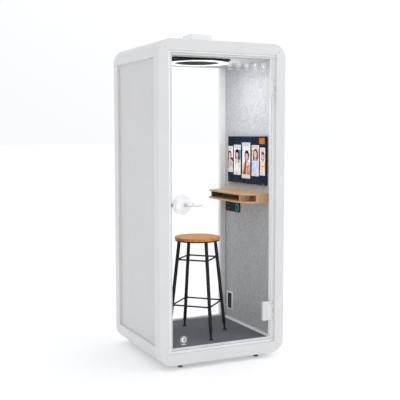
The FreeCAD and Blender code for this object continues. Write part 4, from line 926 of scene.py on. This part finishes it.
for number, (far, near, z0, z1, head_at, head_h, style, paints) in enumerate(CARDS, 1):
    u0, u1 = (screen_high.y - depth(side) for side in (far, near))
    v0, v1 = z0 * MM - screen_low.z, z1 * MM - screen_low.z
    card = Portrait("display_card_%d" % number, u0, u1, v0, v1, head_at, head_h, paints)
    paint = card.tones
    ground = rounded((u0 + u1) / 2, (v0 + v1) / 2, u1 - u0, v1 - v0, 0.006)
    layer(card.bm, ground, 1, paint["ground"])
    for (left, right, low, high), colour in PROPS[style]:
        card.level += 1
        outline = [card.share(*at) for at in ((left, low), (right, low), (right, high),
                                              (left, high))]
        layer(card.bm, card.clip(outline), card.level, card.add(prop_look(colour)))
    card.shape(BACK_HAIR[style], paint["hair"])
    bare_shoulders = style == "braid"
    card.shape([(-.16, -.52), (.16, -.52), (.42, -.66), (.78, -.80), (.94, -1.3), (1.0, -2.6),
                (-1.0, -2.6), (-.94, -1.3), (-.78, -.80), (-.42, -.66)],
               paint["skin" if bare_shoulders else "dress"])
    if bare_shoulders:
        card.shape([(-.62, -.98), (-.3, -1.12), (0, -1.16), (.3, -1.12), (.62, -.98), (.78, -1.6),
                    (.9, -2.6), (-.9, -2.6), (-.78, -1.6)], paint["dress"])
    card.shape([(-.26, -.60), (.26, -.60), (.20, -.82), (0, -.90), (-.20, -.82)], paint["skin"])
    card.face()
    card.shape(FRINGE[style], paint["hair"])
    if style == "long":
        card.shape([(-.30, -.86), (.0, -.93), (.30, -.86), (.32, -.94), (.0, -1.02),
                    (-.32, -.94)], paint["trim"])
        card.shape([(.34, -.4), (.50, -.5), (.58, -1.05), (.40, -1.15), (.36, -.8)],
                   paint["hair"])
    elif style == "braid":
        for k in range(10):
            card.oval(-.22 - .03 * k, -.55 - .17 * k, .120, .120, paint["hair"], 14)
    elif style == "waves":
        card.shape([(.36, .0), (.50, -.3), (.46, -.78), (.34, -.66), (.37, -.3)], paint["hair"],
                   True, True)
        card.shape([(-.36, -.74), (0, -.96), (.36, -.74), (.38, -.82), (0, -1.05),
                    (-.38, -.82)], paint["trim"])
    else:
        card.shape([(-.62, -1.28), (0, -1.36), (.62, -1.28), (.62, -1.44), (0, -1.52),
                    (-.62, -1.44)], paint["trim"])
    card.finish()

# ---- small parts
# clamp screws on the hinge back plates, two to a plate
HINGE_SCREW_X = 0.357
PLATE_MIDDLE = 0.070        # from a plate's outer end
back_low, back_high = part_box("hinge_back_plates")
screws("hinge_screws", "door", [
    ((HINGE_SCREW_X, back_high.y, middle + step), (0, 1, 0), 0.0055)
    for middle in (back_low.z + PLATE_MIDDLE, back_high.z - PLATE_MIDDLE)
    for step in (-0.040, 0.040)])

# fixing screws of the inner lock case
LOCK_INSET = 0.014
case_low, case_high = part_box("lock_case_inner")
screws("lock_screws", "door", [
    ((case_low.x + du, case_high.y, case_high.z - LOCK_INSET), (0, 1, 0), 0.0035)
    for du in (LOCK_INSET, case_high.x - case_low.x - LOCK_INSET)])

# screws at the corners of the wall modules and of the air inlet
MODULE_INSET, VENT_INSET = 0.0055, 0.007
mod_low, mod_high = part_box("button_module")
last_low, last_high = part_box("usb_module")
inlet_low, inlet_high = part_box("vent_frame")
screws("module_screws", "booth", [
    ((mod_low.x, y, z), (-1, 0, 0), 0.0024)
    for y, z in corners(mod_low.yz, (last_high.y, mod_high.z), MODULE_INSET)] + [
    ((inlet_low.x, y, z), (-1, 0, 0), 0.0026)
    for y, z in corners(inlet_low.yz, inlet_high.yz, VENT_INSET)])

# contact tongues inside the two USB sockets
TONGUE_DEPTH, TONGUE_LIFT, TONGUE_SUNK = 765.5, 0.0008, 0.004
usb_plane = Plane((last_low.x + TONGUE_SUNK, 0, 0), (0, -1, 0), (0, 0, 1))
bm = bmesh.new()
for z in (1.054, 1.084):
    plate(bm, usb_plane, rounded(-depth(TONGUE_DEPTH), z + TONGUE_LIFT, 0.010, 0.0014, 0.0005, 3),
          0.0, 0.0035)
piece("usb_tongues", bm, "booth", "white_plastic")

# raised frames round each module's field, as moulded bezels have
FIELD_GAP, FIELD_RIM = 0.002, 0.0024
wall = Plane((mod_low.x, 0, 0), (0, -1, 0), (0, 0, 1))
bm = bmesh.new()
for name in ("button_module", "socket_module", "usb_module"):
    low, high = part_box(name)
    mid_y, mid_z = (low.y + high.y) / 2, (low.z + high.z) / 2
    wide, tall = high.y - low.y - FIELD_GAP, high.z - low.z - FIELD_GAP
    band(bm, wall, rounded(-mid_y, mid_z, wide, tall, 0.003),
         rounded(-mid_y, mid_z, wide - FIELD_RIM, tall - FIELD_RIM, 0.002), -0.0003, 0.0006)
piece("module_bezels", bm, "booth", "black_plastic")

# ceiling lamp: bright rim round the opal ring, and four screws inside it
LAMP_SCREW_R = 0.154
lamp_low, lamp_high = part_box("lamp_diffuser")
lamp_x, lamp_y = (lamp_low.x + lamp_high.x) / 2, (lamp_low.y + lamp_high.y) / 2
lamp_r = (lamp_high.x - lamp_low.x) / 2
ceiling_down = Plane((lamp_x, lamp_y, lamp_high.z), (1, 0, 0), (0, -1, 0))
bm = bmesh.new()
band(bm, ceiling_down, ellipse(0, 0, lamp_r + 0.0018, lamp_r + 0.0018, 96),
     ellipse(0, 0, lamp_r + 0.0003, lamp_r + 0.0003, 96), -0.001, 0.0038)
for k in range(4):
    a = math.radians(45 + 90 * k)
    socket_screw(bm, (lamp_x + LAMP_SCREW_R * math.cos(a), lamp_y + LAMP_SCREW_R * math.sin(a),
                      lamp_low.z + 0.001), (0, 0, -1), 0.0028)
piece("lamp_trims", bm, "booth", "bolt_steel", sharp=30)

# roof hood: screws sunk into the corners of its top
HOOD_INSET, HOOD_SINK = 0.012, 0.0018
hood_low, hood_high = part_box("roof_vent_hood")
screws("hood_screws", "booth", [
    ((x, y, hood_high.z - HOOD_SINK), (0, 0, 1), 0.0035)
    for x, y in corners(hood_low.xy, hood_high.xy, HOOD_INSET)])

# screws on both sides of the mains inlet
INLET_OUT, INLET_SINK = 0.008, 0.0022
power_low, power_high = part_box("power_inlet")
rear_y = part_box("rear_frame")[1].y - INLET_SINK
screws("inlet_screws", "booth", [
    ((x, rear_y, (power_low.z + power_high.z) / 2), (0, 1, 0), 0.0034)
    for x in (power_low.x - INLET_OUT, power_high.x + INLET_OUT)])

# stool: weld beads where the rods meet the legs, collars on the legs, rings on the pads
LEG_TOP_Z, LEG_TOP_R = 0.849, 0.1517
PAD_R = 0.017
REST_ZS = (0.373, 0.715)
COLLAR_Z = 0.1885
BEAD_OUT = 0.0158           # from the middle of a leg
seat_low, seat_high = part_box("stool_seat")
hub = Vector(((seat_low.x + seat_high.x) / 2, (seat_low.y + seat_high.y) / 2, 0))
pads_low, pads_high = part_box("stool_foot_pads")
FOOT_R = (pads_high.x - pads_low.x) / 2 - PAD_R
FOOT_Z = pads_low.z
LEG_SLOPE = (FOOT_R - LEG_TOP_R) / (LEG_TOP_Z - FOOT_Z)


def leg_point(turn, z):
    """Point on the middle line of the leg that stands at this angle."""
    r = FOOT_R - LEG_SLOPE * (z - FOOT_Z)
    return hub + Vector((r * math.cos(turn), r * math.sin(turn), z))


bead = [(0, -0.005), (0.0084, -0.005), (0.0086, -0.0015), (0.0077, 0.0006), (0.0065, 0.0017),
        (0, 0.0017)]
collar = [(0, -0.0035), (0.0128, -0.0035), (0.0145, -0.0022), (0.0145, 0.0022),
          (0.0133, 0.0035), (0, 0.0035)]
ankle = [(0, -0.0005), (0.0122, -0.0005), (0.0116, 0.0025), (0.0084, 0.0048), (0, 0.0048)]
bm = bmesh.new()
for i in range(4):
    turn = math.pi / 2 * i
    for z in REST_ZS:
        for other in (turn + math.pi / 2, turn - math.pi / 2):
            a, b = leg_point(turn, z), leg_point(other, z)
            along = (b - a).normalized()
            lathe(bm, a + along * BEAD_OUT, along, bead, 18)
    lean = (leg_point(turn, 0.8) - leg_point(turn, 0.2)).normalized()
    lathe(bm, leg_point(turn, COLLAR_Z), lean, collar, 26)
    lathe(bm, leg_point(turn, FOOT_Z + 0.0062), (0, 0, 1), ankle, 24)
piece("stool_joints", bm, "stool", "black_steel")

# screws from the ring up into the seat, between the legs
SEAT_SCREW_R = 0.149
rim_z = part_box("stool_rim")[0].z
screws("stool_screws", "stool", [
    ((hub.x + SEAT_SCREW_R * math.cos(a), hub.y + SEAT_SCREW_R * math.sin(a), rim_z),
     (0, 0, -1), 0.005) for a in (math.pi / 4 + math.pi / 2 * i for i in range(4))])

# locking nuts on the levelling feet
FEET_R = 0.0175
feet_low, feet_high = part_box("levelling_feet")
nut = [(0.0056, 0.014), (0.0095, 0.014), (0.0098, 0.0150), (0.0098, 0.0205), (0.0095, 0.0215),
       (0.0056, 0.0215), (0.0056, 0.014)]
bm = bmesh.new()
for x, y in corners(feet_low.xy, feet_high.xy, FEET_R):
    lathe(bm, (x, y, 0), (0, 0, 1), nut, 24, (1, 2, 3, 4))
piece("foot_nuts", bm, "booth", "zinc_steel")

# ---- floor, light, world
FLOOR_REACH = 120
k = Look("studio_floor")
floor_tone = k.mix(k.spread(k.noise(1.2, 3), 0, 1), (0.84, 0.84, 0.85),
                   (0.86, 0.86, 0.865))
k.glow((0.97, 0.98, 1.0), 0.20)
k.done(floor_tone, k.remap(k.noise(3, 3), 0.85, 0.95), Specular_IOR_Level=0.1)
bm = bmesh.new()
bmesh.ops.create_grid(bm, x_segments=2, y_segments=2, size=FLOOR_REACH)
floor_mesh = bpy.data.meshes.new("floor")
bm.to_mesh(floor_mesh)
bm.free()
floor_mesh.materials.append(k.material)
floor = bpy.data.objects.new("floor", floor_mesh)
scene.collection.objects.link(floor)

# the sky's strength is a middle value plus a share of the direction along each axis
SKY_MIDDLE = 0.855
SKY_SHARES = (("X", 0.16), ("Y", 0.08), ("Z", 0.24))
world = bpy.data.worlds.new("studio")
world.use_nodes = True
scene.world = world
tree = world.node_tree
way = tree.nodes.new("ShaderNodeTexCoord")
split = tree.nodes.new("ShaderNodeSeparateXYZ")
tree.links.new(way.outputs["Generated"], split.inputs[0])
level = None
for axis, share in SKY_SHARES:
    part = tree.nodes.new("ShaderNodeMath")
    part.operation = "MULTIPLY_ADD"
    tree.links.new(split.outputs[axis], part.inputs[0])
    part.inputs[1].default_value = share
    if level is None:
        part.inputs[2].default_value = SKY_MIDDLE
    else:
        tree.links.new(level, part.inputs[2])
    level = part.outputs[0]
backdrop = tree.nodes["Background"]
backdrop.inputs["Color"].default_value = (0.985, 0.99, 1.0, 1)
tree.links.new(level, backdrop.inputs["Strength"])


def light(name, kind, watts, at, **settings):
    data = bpy.data.lights.new(name, kind)
    data.energy = watts
    for key, value in settings.items():
        setattr(data, key, value)
    made = bpy.data.objects.new(name, data)
    made.location = at
    scene.collection.objects.link(made)
    return made


# soft box at the front right, aimed at the middle of the booth
soft_box = light("soft_box", "AREA", 22, (2.6, -4.2, 3.6), shape="RECTANGLE", size=3.5,
                 size_y=3.0)
aim = Vector((0, 0, 1.2)) - soft_box.location
soft_box.rotation_euler = aim.to_track_quat("-Z", "Y").to_euler()
# what the ring lamp gives: light straight down, and a glow on the walls round it
light("ring_light", "AREA", 3.4, (lamp_x, lamp_y, lamp_low.z - 0.012), shape="DISK",
      size=lamp_r * 2).visible_camera = False
light("ring_glow_light", "POINT", 2.2, (lamp_x + 0.16, lamp_y, lamp_low.z - 0.16),
      shadow_soft_size=0.09).visible_camera = False

bpy.context.view_layer.update()
